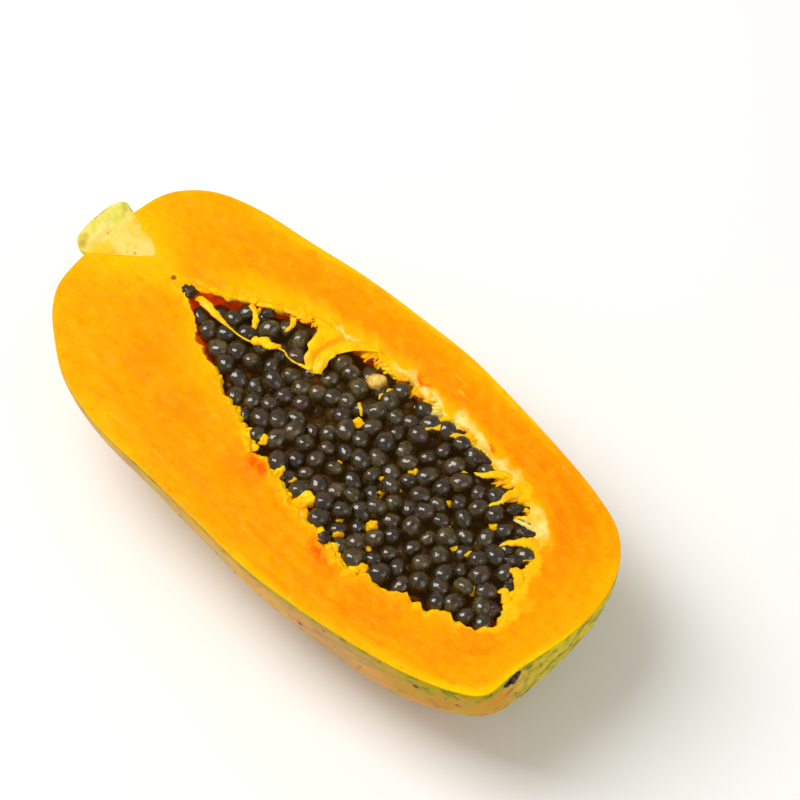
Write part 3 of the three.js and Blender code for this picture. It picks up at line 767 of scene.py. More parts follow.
def pulp_bed():
    """The wet pulp under the seeds: a closed cushion over the cavity's outline, drawn in to its
    middle line above and below. Its top is waved by noise and banked up at the walls, and its
    underside lies a thickness lower."""
    share, side = loop_places(BED_LOOP)
    outline = loop_points(CAVITY, share, side)
    spine = (outline_at(CAVITY, share / 2) + outline_at(CAVITY, (1 - share / 2) % 1.0)) / 2
    reach = np.sin(np.linspace(0, math.pi, BED_ROWS))[:, None, None]
    level = spine[None] + (outline - spine)[None] * reach * 0.97
    is_top = (np.arange(BED_ROWS) < BED_ROWS // 2)[:, None]
    waves = BED_WAVES * smooth_noise(np.concatenate([level, 0 * level[..., :1]], -1), 9, 64)
    tip_dip = HEAP_TIP["depth"] * bell(level[..., 0], HEAP_TIP["x"], HEAP_TIP["reach"])
    height = BED_LEVEL + waves + BED_BANK * reach[..., 0] ** 6 - tip_dip
    height = np.where(is_top, height, height - BED_THICKNESS)
    return np.concatenate([level, height[..., None]], -1)[::-1]


def seed_finish(name, shades, gloss, painted_glow):
    """A dark seed in its gel coat: from nearly black to olive grey by the seed's tone and soft
    clouds, red-brown in patches and paler on fine ridges along it, with a warm sheen at its edge
    and a wet gloss whose highlights are broken up by the coat's own ripples. Its emission is a
    faint warm painted glow for the light that seeps through the coat."""
    paint = Finish(name)
    tone = paint.number("tone")
    place = paint.add("Attribute", output=1, attribute_name="on_seed")
    ridged = paint.add("Mapping", {"Vector": place, "Scale": (0.12, 1, 1)})
    ridges = paint.add("TexNoise", {"Vector": ridged, "Scale": 1.6, "Detail": 3, "Roughness": 0.6})
    cloud = paint.add("TexNoise", {"Vector": place, "Scale": 0.45, "Detail": 2})
    mixed = paint.math("ADD", paint.times(tone, 0.42), paint.step(cloud, 0.25, 0.75, -0.05, 0.60))
    colour = paint.ramp(mixed, [(0.15, shades[0]), (0.42, shades[1]), (0.68, shades[2]), (0.98, shades[3])])
    hue = paint.add("TexNoise", {"Vector": place, "Scale": 0.16, "Detail": 1})
    colour = paint.mix(colour, (0.052, 0.020, 0.008), paint.step(hue, 0.50, 0.62, 0.0, 0.6))
    colour = paint.mix(colour, (0.20, 0.145, 0.045), paint.step(tone, 1.0, 2.0, 0.0, 0.7))
    colour = paint.mix(colour, tuple(1.8 * c for c in shades[2]), paint.step(ridges, 0.42, 0.70, 0.0, 0.3))
    # The emission is a painted glow that stands in for light seeping through the gel coat.
    paint.set(Base_Color=colour, Roughness=0.5, Specular_IOR_Level=0.05, Coat_Weight=gloss,
              Coat_Roughness=0.06, Coat_IOR=1.66, Sheen_Weight=0.16, Sheen_Roughness=0.3,
              Sheen_Tint=(0.9, 0.42, 0.08), Emission_Color=(1.0, 0.45, 0.06), Emission_Strength=painted_glow)
    paint.bump(ridges, 0.22, 0.0003)
    ripples = paint.add("TexNoise", {"Vector": place, "Scale": 0.55, "Detail": 2, "Roughness": 0.5})
    coat = paint.add("Bump", {"Height": ripples, "Strength": 0.26, "Distance": 0.0009})
    paint.put(paint.surface, "Coat Normal", coat)
    return paint.material


def bed_finish():
    """Wet pulp in shade: nearly black to orange-brown, in soft clouds, with a trace of glow for
    the light that seeps in through the flesh."""
    paint = Finish("shaded_pulp")
    cloud = paint.noise(0.009, 4, 0.6)
    colour = paint.ramp(cloud, [(0.36, (0.020, 0.006, 0.001)), (0.52, (0.06, 0.016, 0.001)),
                                (0.68, (0.24, 0.070, 0.002))])
    paint.set(Base_Color=colour, Roughness=0.6, Specular_IOR_Level=0.05, Emission_Color=(1.0, 0.42, 0.05),
              Emission_Strength=0.014)
    paint.bump(cloud, 0.5, 0.001)
    return paint.material


wet_seed = seed_finish("wet_seed", [(0.003, 0.002, 0.0003), (0.013, 0.008, 0.001), (0.046, 0.030, 0.005),
                                    (0.112, 0.084, 0.018)], 1.0, 0.006)
# The lower layers' finish is the seed finish made browner and duller, with more glow: painted shade and warm
# bounce light, not a different kind of seed.
shaded_seed = seed_finish("shaded_seed", [(0.012, 0.005, 0.001), (0.026, 0.012, 0.002), (0.050, 0.024, 0.004),
                                      (0.090, 0.048, 0.010)], 0.10, 0.014)
top_seeds = seed_mesh("seeds", *heap_layer(SEED_RANDOM_START, 0, 1), wet_seed, 61)
rounding = top_seeds.modifiers.new("rounding", "SUBSURF")
rounding.levels = rounding.render_levels = 1
lower = [heap_layer(*layer) for layer in LOWER_LAYERS]
low_seeds = seed_mesh("seeds_below", *(np.concatenate(part) for part in zip(*lower)), shaded_seed, 62)
bed = mesh_piece("shaded_pulp", *joined([pulp_bed()]), [bed_finish()])
weld(bed)
for piece in (top_seeds, low_seeds, bed):
    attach(piece, "root")
    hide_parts("seeds")

# ---------------------------------------------------------------- lining and pulp
# The white and yellow lining that held the seeds: torn teeth along the cavity's edge, threads
# and a flap that hang over the heap from the far wall, and scraps of pulp between the seeds.
BALL_ROWS, BALL_COLUMNS = 19, 26
STRAND_ROWS, STRAND_SIDES = 22, 10
TONGUE_COUNT, TONGUE_ROWS, TONGUE_SIDES = 150, 12, 6
FLAP_ROWS, FLAP_COLUMNS = 56, 48
# Towards the stalk from here the far tongues are short, so that they don't stand like a comb.
SHORT_TONGUES_X, SHORT_TONGUES_SHARE = 12, 0.55


def turned(points, angle):
    """The points turned about the vertical by an angle in radians."""
    c, s = math.cos(angle), math.sin(angle)
    x, y, z = np.moveaxis(points, -1, 0)
    return np.stack([x * c - y * s, x * s + y * c, z], -1)


def round_blob(centre, radii, heading, seed, rough):
    """Points of a lump: a ball flattened to its radii, roughened by noise and turned about the
    vertical."""
    polar = np.linspace(0, math.pi, BALL_ROWS)[:, None]
    turn = np.linspace(0, 2 * math.pi, BALL_COLUMNS, endpoint=False)[None]
    x, y = np.sin(polar) * np.cos(turn), np.sin(polar) * np.sin(turn)
    ball = np.stack(np.broadcast_arrays(x, y, np.cos(polar)), -1)
    noise = smooth_noise(ball, 1.5, seed) + 0.5 * smooth_noise(ball, 0.7, seed + 1)
    local = ball * (1 + rough * noise[..., None]) * np.array(radii)
    return turned(local, heading) + np.array(centre)


def smooth_path(stops, count):
    """Points along a smooth line through the stops (Catmull-Rom, its ends doubled)."""
    stops = np.array([stops[0], *stops, stops[-1]], float)
    place = np.linspace(0, len(stops) - 3, count)
    index = np.minimum(place.astype(int), len(stops) - 4)
    return curve(*(stops[index + k] for k in range(4)), (place - index)[:, None])


def strand(stops, widths, thickness, seed, rough, rows=STRAND_ROWS, sides=STRAND_SIDES):
    """Points of a soft strand along a path. Its half width follows the widths, its half thickness
    is a share of that, both ends are rounded and its surface is roughened by noise."""
    path = smooth_path(stops, rows)
    along = np.gradient(path, axis=0)
    along /= np.linalg.norm(along, axis=1, keepdims=True)
    across = np.cross(along, [0.0, 0.0, 1.0])
    across /= np.linalg.norm(across, axis=1, keepdims=True) + 1e-9
    upward = np.cross(across, along)
    share = np.linspace(0, 1, rows)
    half = np.interp(share, np.linspace(0, 1, len(widths)), widths)
    half = half * np.sqrt(np.clip(1 - (2 * share - 1) ** 8, 0, 1))
    turn = np.linspace(0, 2 * math.pi, sides, endpoint=False)[None, :, None]
    ring = np.cos(turn) * across[:, None] + thickness * np.sin(turn) * upward[:, None]
    points = path[:, None] + ring * half[:, None, None]
    noise = smooth_noise(points, 2.2, seed) + 0.6 * smooth_noise(points, 0.9, seed + 1)
    return points + ring * (half[:, None] * rough * noise)[..., None]


def spread(grids, values):
    """One value a grid, repeated for each of the grid's points."""
    return np.concatenate([np.full(grid.shape[0] * grid.shape[1], value)
                           for grid, value in zip(grids, values)])


def dry_share(x, y):
    """How dry the lining is at a place, from 0 to 1: the sum of bells round three middles, most on
    the far side near x 22 and x 62, less near the flap."""
    far_side = bell(x, 22, 18) * bell(y, 30, 7)
    blossom_side = bell(x, 62, 8) * bell(y, 21, 6)
    at_flap = 0.6 * bell(x, -20, 9) * bell(y, 26, 4)
    return np.clip(far_side + blossom_side + at_flap, 0, 1)


def edge_tongues():
    """Torn tongues of lining: tapering strands that grow out of the band at the cavity's edge,
    lean to the stalk and reach in and down between the seeds, long and blunt on the far side,
    small and broad on the near one. One in five is a fine thread. Returns the strands and how dry
    each is."""
    random = np.random.default_rng(71)
    far, near = edge_table(CAVITY, True), edge_table(CAVITY, False)
    tongues, dryness = [], []
    for i in range(TONGUE_COUNT):
        on_far, fine = i % 5 > 0, i % 5 > 3
        table, sign = (far, 1) if on_far else (near, -1)
        x = random.uniform(-35, 76) if on_far else random.uniform(-24, 42)
        edge = np.array([x, np.interp(x, table[:, 0], table[:, 1])])
        lean = random.normal(-0.85, 0.35) if on_far else random.normal(0, 0.6)
        heading = np.array([math.sin(lean), -sign * math.cos(lean)])
        reach = random.uniform(1.5, 6.0) if on_far else random.uniform(0.3, 1.6)
        if on_far and x < SHORT_TONGUES_X:
            reach *= SHORT_TONGUES_SHARE
        root = edge - heading * random.uniform(1.4, 2.8)
        tip = edge + heading * reach
        bend = edge + random.normal(0, 0.6, 2)
        depth = random.uniform(0.2, 2.2)
        bend_height = -1.0 + random.uniform(-0.3, 0.4)
        half_way = (bend + tip) / 2 + random.normal(0, 0.4, 2)
        stops = [(*root, -1.5), (*bend, bend_height), (*half_way, -1.0 - depth / 3), (*tip, -1.3 - depth)]
        low, high = (0.16, 0.30) if fine else (0.6, 1.4) if on_far else (1.2, 2.2)
        width = random.uniform(low, high)
        widths = [width, width * 0.95, width * 0.75, 0.08 if fine else width * 0.40]
        thickness = 0.5 if on_far else 0.3
        tongues.append(strand(stops, widths, thickness, 700 + 3 * i, 0.20, TONGUE_ROWS, TONGUE_SIDES))
        dryness.append(dry_share(*edge) * random.uniform(0.4, 1.1))
    return tongues, dryness


# Each long strand: the stops of its path and its half widths along it. The first threads run from
# the stalk end to the flap, the next hang from the far wall, the last two stand among the seeds.
LONG_STRANDS = [
    ([(-61, 5.8, -2.6), (-57.8, 6.1, -1.5), (-54.6, 5.9, -1.3), (-50.7, 5.4, -1.1), (-47.1, 5.0, -0.7),
      (-44, 4.9, -0.4), (-40.8, 4.8, 0.2), (-37.5, 5.4, 0.5), (-35, 6.6, 0.3)],
     [1.5, 1.4, 1.2, 1.0, 0.6, 0.3, 0.24, 0.34, 0.6]),
    ([(-37.2, 5.6, 0.2), (-36, 6.8, 0.3), (-34.6, 8.2, 0.3), (-32.4, 8.6, 0.5), (-30.6, 9.6, 0.4),
      (-30, 11.4, -0.6)], [0.7, 1.8, 1.3, 1.9, 1.2, 1.0, 0.5]),
    ([(-30.5, 9.8, 0), (-27.7, 10.3, 0.1), (-25.6, 9.7, 0), (-23, 9.9, 0), (-20.3, 10.7, 0.1),
      (-17.6, 11.7, 0.2)], [0.5, 0.28, 0.24, 0.26, 0.5, 1.1]),
    ([(-46.5, 14.8, -1.2), (-44.8, 14.6, -0.9), (-42.6, 13.2, -0.9), (-40.8, 11.4, -1.2),
      (-40.2, 9.0, -1.8)], [1.1, 1.0, 0.9, 1.0, 0.7]),
    ([(-45.5, 16.2, -1.0), (-42.3, 18.6, -0.9), (-38.2, 20.9, -0.9), (-33.5, 22.6, -0.9),
      (-29, 23.6, -1.0)], [0.8, 1.1, 1.0, 1.2, 0.8]),
    ([(-34, 20.9, -0.9), (-32.5, 18.6, -0.8), (-32.8, 15.8, -1.6)], [1.2, 0.8, 0.4]),
    ([(24.8, 31.6, -1.6), (23.4, 29.4, -0.6), (22.2, 27.6, -0.1), (20.9, 25.6, 0.3), (19, 24.0, 0.2),
      (17.2, 23.6, -0.4)], [1.4, 1.2, 0.9, 0.8, 0.5, 0.12]),
    ([(28, 30.2, -1.7), (26, 26.6, -0.5), (23.8, 24.6, 0.2), (21.7, 22.9, 0.4), (20.3, 20.7, 0.2),
      (18.8, 18.4, -0.6)], [1.9, 1.5, 1.1, 0.8, 0.5, 0.10]),
    ([(31.6, 30.2, -1.7), (29.6, 26.6, -0.4), (27, 25, -0.1), (25.4, 23.0, -0.5)], [1.8, 1.3, 0.8, 0.15]),
    ([(49.4, 28.2, -1.8), (47.2, 26.5, -0.5), (45.3, 24.4, -0.1), (43.2, 22.3, 0), (41.3, 21, -0.4),
      (39.6, 20.8, -1.2)], [2.0, 1.7, 1.4, 1.0, 0.6, 0.15]),
    ([(55, 26.6, -1.8), (53, 23.0, -0.5), (52.2, 20, -0.1), (51.3, 17.3, -0.4), (49.8, 15.0, -1.2)],
     [2.1, 1.7, 1.2, 0.8, 0.15]),
    ([(71, 16.8, -1.8), (67.6, 15.4, -0.5), (65.4, 13.4, -0.2), (62.9, 11.2, -0.4), (61.2, 8.2, -1.1)],
     [2.2, 1.9, 1.5, 0.9, 0.2]),
    ([(75.4, 2.4, -1.8), (72, 5.2, -0.5), (69.2, 5.0, -0.3), (66.6, 3.2, -1.2)], [1.9, 1.6, 1.0, 0.2]),
    ([(75.6, -3.4, -1.8), (72.6, -1.4, -0.6), (70.6, -2.8, -1.4)], [1.8, 1.2, 0.2]),
    ([(-0.2, 14.2, -1.4), (0.6, 13.0, 0), (2.2, 12.0, 0.2), (3.6, 10.8, -0.4)], [0.5, 0.55, 0.45, 0.3]),
    ([(4.4, 24.4, -1.4), (3.4, 22.4, -0.2), (4.4, 20.4, -0.8)], [0.5, 0.5, 0.7]),
]
# Each scrap of pulp: x, y, size and how far its middle lies below the level of the highest scraps.
SCRAP_LEVEL = -0.9
PULP_SCRAPS = [
    (-43.5, 15.2, 1.2, 1.2), (3.9, 9.3, 1.7, 1.0), (-2.4, 20.4, 1.2, 0.8), (3.0, 20.6, 1.2, 0.9),
    (26.6, 9.2, 1.4, 2.0), (37.4, 12.1, 1.2, 2.0), (25.4, 2.1, 1.9, 1.6), (21.6, 1.2, 1.2, 2.2),
    (23.6, -3.6, 1.6, 2.4), (27.1, -6.0, 1.7, 2.6), (29.5, -11.9, 1.9, 2.4), (40.9, 8.7, 1.2, 2.2),
    (45.8, 3.1, 1.3, 2.2), (64.9, -6.8, 1.6, 1.6), (56.7, 0.8, 1.5, 2.0), (62.9, -11.0, 1.4, 2.0),
    (52.1, -0.6, 1.3, 2.4), (55.2, 12.5, 1.6, 1.4), (58.8, 13.6, 1.0, 1.6), (37.6, 19.1, 1.2, 2.0),
    (62.8, 6.4, 1.3, 1.2), (8.6, -4.2, 1.2, 2.4), (2.8, -18.0, 1.5, 1.6), (13.2, -17.0, 2.2, 0.9),
    (24.6, -21.4, 1.6, 1.6), (21.6, -17.0, 1.2, 2.4), (34, -18, 1.2, 2.6), (40, -13, 1.2, 2.6),
    (-22, -3, 1.0, 2.8), (-13.0, -14.4, 2.2, 0.9), (-1.6, -18.8, 2.4, 1.0), (6.4, -20.4, 2.6, 0.9),
    (10.4, -20.6, 2.8, 0.5), (20.6, -25.2, 2.4, 1.0), (36.4, -25.6, 2.6, 0.9), (-24.6, -13.2, 2.2, 1.2),
    (-36, -9.4, 1.8, 1.2),
]


def scraps():
    """Soft lumps of pulp between the seeds, at the listed places, sizes and depths. Each radius is
    the size times a draw, and the lumps lie turned at random."""
    random = np.random.default_rng(81)
    lumps = []
    for i, (x, y, size, below) in enumerate(PULP_SCRAPS):
        radii = size * random.uniform([0.90, 0.60, 0.60], [1.30, 1.00, 0.95])
        lumps.append(round_blob((x, y, SCRAP_LEVEL - below), radii, random.uniform(0, 3), 800 + 3 * i, 0.16))
    return lumps


FLAP_LEFT = [(-29, 25.6), (-26.4, 23.2), (-24.9, 20.4), (-24.0, 16.8), (-22.6, 13.6), (-20.2, 11.6),
             (-17.8, 10.8)]
FLAP_RIGHT = [(-6.5, 30.5), (-9.6, 27.8), (-12.9, 24.4), (-15.2, 20.6), (-15.9, 17.6), (-15.2, 15),
              (-14.8, 12.8)]


def flap():
    """The broad flap of lining: rows that run from the far wall to its tip over the seeds. Across
    each row its edge curls up at the left, a crease follows, and the right edge is a raised lip.
    Returns its points as one closed tube and how deep in the crease each point is; the finish paints the
    crease orange as painted shade."""
    left = smooth_path(FLAP_LEFT, FLAP_ROWS)
    right_edge = smooth_path(FLAP_RIGHT, FLAP_ROWS)
    s = np.linspace(0, 1, FLAP_ROWS)[:, None]
    t = np.linspace(0, 1, FLAP_COLUMNS)[None]
    level = left[:, None] * (1 - t[..., None]) + right_edge[:, None] * t[..., None]
    open_part = np.sin(math.pi * np.clip(s * 0.86 + 0.14, 0, 1)) ** 0.8
    crease = bell(t, 0.50 - 0.15 * s, 0.13) * open_part
    curl, lip = 0.8 * bell(t, 0.16, 0.22), 1.1 * bell(t, 0.86, 0.34)
    height = -1.2 + open_part * (0.8 + curl + lip) - 0.4 * crease
    height = height + 0.8 * s * (1 - s) + 0.25 * s
    top = np.concatenate([level, height[..., None]], -1)
    top[..., 2] += 0.10 * smooth_noise(top, 4.5, 92) + 0.05 * smooth_noise(top * [1, 0.4, 1], 1.6, 93)
    top[..., :2] += (0.35 * smooth_noise(top, 3.4, 94) * (np.abs(2 * t - 1) ** 4))[..., None]
    thickness = np.sqrt(np.clip(1 - (2 * t - 1) ** 4, 0, 1)) * np.sqrt(np.clip(1 - (2 * s - 1) ** 6, 0, 1))
    bottom = top.copy()
    bottom[..., 2] -= thickness
    return np.concatenate([top, bottom[:, ::-1]], 1), np.concatenate([crease, 0 * crease], 1)


def lining_finish(name, fibre_size, gloss):
    """Torn lining: yellow where it is moist and cream-white where it has dried to fibres, both in
    fine streaks, orange in its creases and darker olive where it reaches down between the seeds,
    both painted shade, and a faint orange painted glow that lifts its shaded parts, most where it
    is moist."""
    paint = Finish(name)
    fibres = paint.noise(fibre_size, 5, 0.65, stretch=(0.5, 1, 1))
    cloud = paint.noise(0.005, 3)
    clouded = paint.math("ADD", paint.number("dry"), paint.step(cloud, 0.35, 0.65, -0.25, 0.25))
    dry = paint.step(clouded, 0.30, 0.70)
    moist = paint.ramp(cloud, [(0.34, (1.0, 0.42, 0.0)), (0.50, (1.0, 0.54, 0.0)),
                               (0.66, (1.0, 0.66, 0.001))])
    colour = paint.mix(moist, (1.0, 0.76, 0.26), dry, 0.9)
    wet = paint.math("SUBTRACT", 1.0, paint.times(dry, 0.8))
    streaked = paint.times(paint.step(fibres, 0.42, 0.64, 0.0, 0.35), wet)
    colour = paint.mix(colour, (0.98, 0.35, 0.0), streaked)
    # Orange in the creases is painted shade in the folds.
    colour = paint.mix(colour, (0.98, 0.28, 0.0), paint.step(paint.number("crease"), 0.2, 0.9, 0.0, 0.85))
    # Darker olive below the cut face is painted shade, where the lining reaches down between the seeds.
    depth = paint.step(paint.axis("Z"), (PLACE[2] - 0.8) * MM, (PLACE[2] - 3.4) * MM, 0.0, 0.8)
    colour = paint.mix(colour, (0.56, 0.39, 0.004), depth, wet)
    # The orange emission is a painted glow that warms the lining's shaded parts.
    paint.set(Base_Color=colour, Roughness=0.35, Subsurface_Weight=0.5, Subsurface_Scale=0.003,
              Subsurface_Radius=(1.0, 0.5, 0.1), Specular_IOR_Level=0.06, Coat_Weight=gloss,
              Coat_Roughness=0.10, Emission_Color=(1.0, 0.30, 0.0),
              Emission_Strength=paint.step(dry, 0.0, 0.8, 0.13, 0.02))
    paint.bump(fibres, 0.4, 0.0004)
    return paint.material


tongue_grids, tongue_dryness = edge_tongues()
tears = mesh_piece("torn_lining", *joined(tongue_grids), [lining_finish("torn_lining", 0.0010, 0.06)],
                   {"dry": spread(tongue_grids, tongue_dryness)})
moist_pulp = lining_finish("moist_pulp", 0.0016, 0.18)
flap_points, flap_crease_shade = flap()
thread_grids = [strand(stops, widths, 0.45, 600 + 3 * i, 0.14)
                for i, (stops, widths) in enumerate(LONG_STRANDS)]
thread_dryness = [0.3 * dry_share(*np.array(stops)[0, :2]) for stops, _ in LONG_STRANDS]
threads = mesh_piece("threads_and_pulp", *joined(thread_grids), [moist_pulp],
                     {"dry": spread(thread_grids, thread_dryness)})
sheet = mesh_piece("flap", *joined([flap_points]), [moist_pulp], {"crease": flap_crease_shade})
pulp = mesh_piece("pulp_scraps", *joined(scraps()), [moist_pulp])
softening = tears.modifiers.new("softening", "SUBSURF")
softening.levels = softening.render_levels = 1
for piece in (tears, threads, sheet, pulp):
    weld(piece)
    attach(piece, "root")
    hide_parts("fruit_half")

# ---------------------------------------------------------------- dried seeds
# Seeds at the cavity's edge that never filled, shrivelled dark round the brown tails they hung
# by, and one that dried pale. They are stuck to the lining.
# Each dried seed: its middle, its half sizes, its heading in degrees and the reach of its tail.
DRIED_SEEDS = [
    ((-62.6, 5.5, -0.9), (2.3, 2.1, 1.6), 20, 0), ((-40.6, 16.6, -1.6), (2.2, 1.5, 1.0), 40, 0),
    ((36.6, 24.9, -1.2), (3.1, 2.4, 2.0), 25, 4.0), ((49.2, 21.4, -1.8), (2.4, 1.7, 1.5), 40, 2.8),
    ((56.6, 20.2, -1.2), (2.5, 1.7, 1.3), 50, 3.8), ((63.6, 16.3, -1.4), (2.6, 2.2, 1.8), 35, 2.6),
    ((67.6, 8.2, -1.6), (2.7, 2.0, 1.7), 50, 3.4), ((45.9, 26.4, -0.9), (1.0, 0.5, 0.5), 50, 1.0),
    ((27.5, 27.2, -1.1), (1.6, 1.0, 0.9), 35, 1.4), ((22.8, -25.3, -1.2), (2.2, 1.9, 1.6), 60, 0),
    ((0.8, -19.4, -1.5), (1.2, 0.9, 0.9), 60, 0.5), ((72.7, -7.4, -3.7), (3.2, 2.8, 2.6), 75, 0),
    ((71.4, 1.6, -3.6), (2.8, 2.4, 2.4), 30, 0),
]


def dried_grids():
    """Shrivelled seeds: lumpy balls of the listed half sizes, turned to their heading. Beyond one
    end each is drawn out to a thin, slightly raised tail."""
    grids = []
    for i, (middle, halves, degrees, tail) in enumerate(DRIED_SEEDS):
        grid = round_blob((0, 0, 0), (1, 1, 1), 0, 900 + 3 * i, 0.07)
        bumps = np.abs(smooth_noise(grid, 0.9, 950 + i)) + 0.5 * np.abs(smooth_noise(grid, 0.5, 970 + i))
        grid = grid * (0.86 + 0.16 * bumps[..., None])
        drawn = np.clip(grid[..., :1] - 0.25, 0, 1) / 0.75
        slim = 1 - min(tail, 1) * 0.72 * drawn**0.8
        grid = grid * np.concatenate([np.ones_like(drawn), slim, slim], -1) * np.array(halves)
        grid[..., 0] += tail * drawn[..., 0] ** 1.5
        grid[..., 2] += 0.12 * tail * drawn[..., 0]
        grids.append(turned(grid, math.radians(degrees)) + np.array(middle))
    return grids


def pale_seed():
    """The pale seed: a smooth ball, longer than it is wide and flatter than either."""
    return round_blob((-1.5, 22.4, -1.0), (3.1, 2.6, 2.2), 0.75, 989, 0.06)


def dried_finish():
    """Dried seed skin: nearly black, red-brown in patches, with pale worn flecks and a dull gloss."""
    paint = Finish("dried_seed")
    flecks = paint.noise(0.0013, 4, 0.7)
    patch = paint.noise(0.004, 2)
    colour = paint.ramp(flecks, [(0.42, (0.014, 0.008, 0.003)), (0.60, (0.045, 0.026, 0.009)),
                                 (0.74, (0.30, 0.22, 0.12))])
    colour = paint.mix(colour, (0.085, 0.022, 0.003), paint.step(patch, 0.50, 0.66, 0.0, 0.7))
    paint.set(Base_Color=colour, Roughness=0.4, Specular_IOR_Level=0.15, Coat_Weight=0.5,
              Coat_Roughness=0.15)
    paint.bump(flecks, 0.6, 0.0006)
    return paint.material


def pale_finish():
    """The pale seed's skin: cream at its crown, browner towards its foot as painted shade, with yellow-brown
    clouds.
    """
    paint = Finish("pale_seed")
    cloud = paint.noise(0.0022, 4, 0.6)
    # Brown towards the foot and cream at the crown: painted shade that darkens the seed's lower side.
    crown = paint.step(paint.axis("Z"), (PLACE[2] - 0.5) * MM, (PLACE[2] + 0.8) * MM)
    colour = paint.mix((0.56, 0.24, 0.02), (0.90, 0.64, 0.16), crown)
    colour = paint.mix(colour, (0.62, 0.34, 0.03), paint.step(cloud, 0.44, 0.62, 0.0, 0.65))
    paint.set(Base_Color=colour, Roughness=0.4, Subsurface_Weight=0.2, Subsurface_Scale=0.002,
              Subsurface_Radius=(1.0, 0.6, 0.2), Specular_IOR_Level=0.1, Coat_Weight=0.5,
              Coat_Roughness=0.12)
    paint.bump(cloud, 0.6, 0.0008)
    return paint.material


dried = mesh_piece("dried_seeds", *joined(dried_grids()), [dried_finish()])
pale = mesh_piece("pale_seed", *joined([pale_seed()]), [pale_finish()])
for piece in (dried, pale):
    weld(piece)
    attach(piece, "root")
    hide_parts("seeds")

# ---------------------------------------------------------------- stalk
# The cut stump of the fruit's stalk with the pale wedge that runs from it into the flesh, one
# woody piece. The stump is lobed where the stalk broke off; the wedge lies flush in the face.
STALK_SECTION = {"depth": 0.95, "depth_gain": 0.0, "fullness": 2.2, "fullness_gain": 0.0}
STALK_LOOP, STALK_SKIN_ROWS, STALK_FACE_ROWS = 200, 26, 30
# Two lobes and a crease on the stump: x, y, reach along the fruit and height in mm.
STUMP_LOBES = [(-98, -4, 2.6, 1.0), (-96.5, 10.5, 3, 0.8), (-96.6, -4.6, 0.9, -0.7)]


def stalk_grid():
    """The closed surface of the stump and wedge: its half body below, lobed by noise at the stump,
    and above it the cut face, drawn to its middle line, with fibres along it."""
    share, side = loop_places(STALK_LOOP)
    angle = np.linspace(math.pi / 2, 0, STALK_SKIN_ROWS + 1)
    skin = half_body(STALK, STALK_SECTION, share[None], side[None], angle[:, None])
    stump = np.clip((-93 - skin[..., 0]) / 4, 0, 1)
    lobes = 0.55 * smooth_noise(skin, 7, 21) + 0.25 * smooth_noise(skin, 2.5, 22)
    skin[..., 2] += (lobes * stump - 0.1) * np.sin(angle)[:, None]
    rim = skin[-1, :, :2]
    far, near = outline_at(STALK, share / 2), outline_at(STALK, (1 - share / 2) % 1.0)
    spine = (far + near) / 2
    step = np.linspace(0, 1, STALK_FACE_ROWS + 1)[1:]
    face = rim[None] + (spine - rim)[None] * step[:, None, None]
    face = np.concatenate([face, np.zeros(face.shape[:2] + (1,))], -1)
    stump = np.clip((-92 - face[..., 0]) / 5, 0, 1)
    fibres = 0.03 * smooth_noise(face * [0.45, 1, 1], 1.4, 23)
    lobes = 0.25 * smooth_noise(face, 7, 24) + 0.15 * smooth_noise(face, 2.6, 25)
    for x, y, reach_x, height in STUMP_LOBES:
        lobes = lobes + height * bell(face[..., 0], x, reach_x) * bell(face[..., 1], y, 3)
    raised = np.minimum(step * 6, 1)[:, None] * 0.05
    face[..., 2] = raised + fibres + np.minimum(lobes, 1.2) * stump * np.minimum(step * 3, 1)[:, None]
    points = np.concatenate([skin, face])
    core = np.concatenate([0 * angle, step])
    return points, np.repeat(core[:, None], STALK_LOOP, 1)


# Spots of flesh colour, dots and the crease's brown: x, y, reach, strength and colour.
STALK_MARKS = [(-90.2, -3.4, 5.2, 0.9, (1.0, 0.52, 0.003)), (-94.0, -4.6, 3.0, 0.6, (0.94, 0.58, 0.02)),
               (-98.0, -4.4, 3.0, 0.8, (0.62, 0.46, 0.01)), (-96.7, -6.0, 2.0, 0.55, (0.45, 0.22, 0.01)),
               (-96.8, 12.8, 3.0, 0.6, (0.45, 0.50, 0.03)), (-94.4, 13.4, 1.4, 0.8, (0.35, 0.20, 0.05)),
               (-88.3, -1.2, 1.0, 0.6, (0.55, 0.38, 0.02)), (-85.2, 1.6, 0.9, 0.6, (0.50, 0.45, 0.03)),
               (-83.2, 2.9, 0.9, 0.7, (0.40, 0.32, 0.02)), (-84.5, 4.6, 1.0, 0.5, (0.60, 0.50, 0.05))]


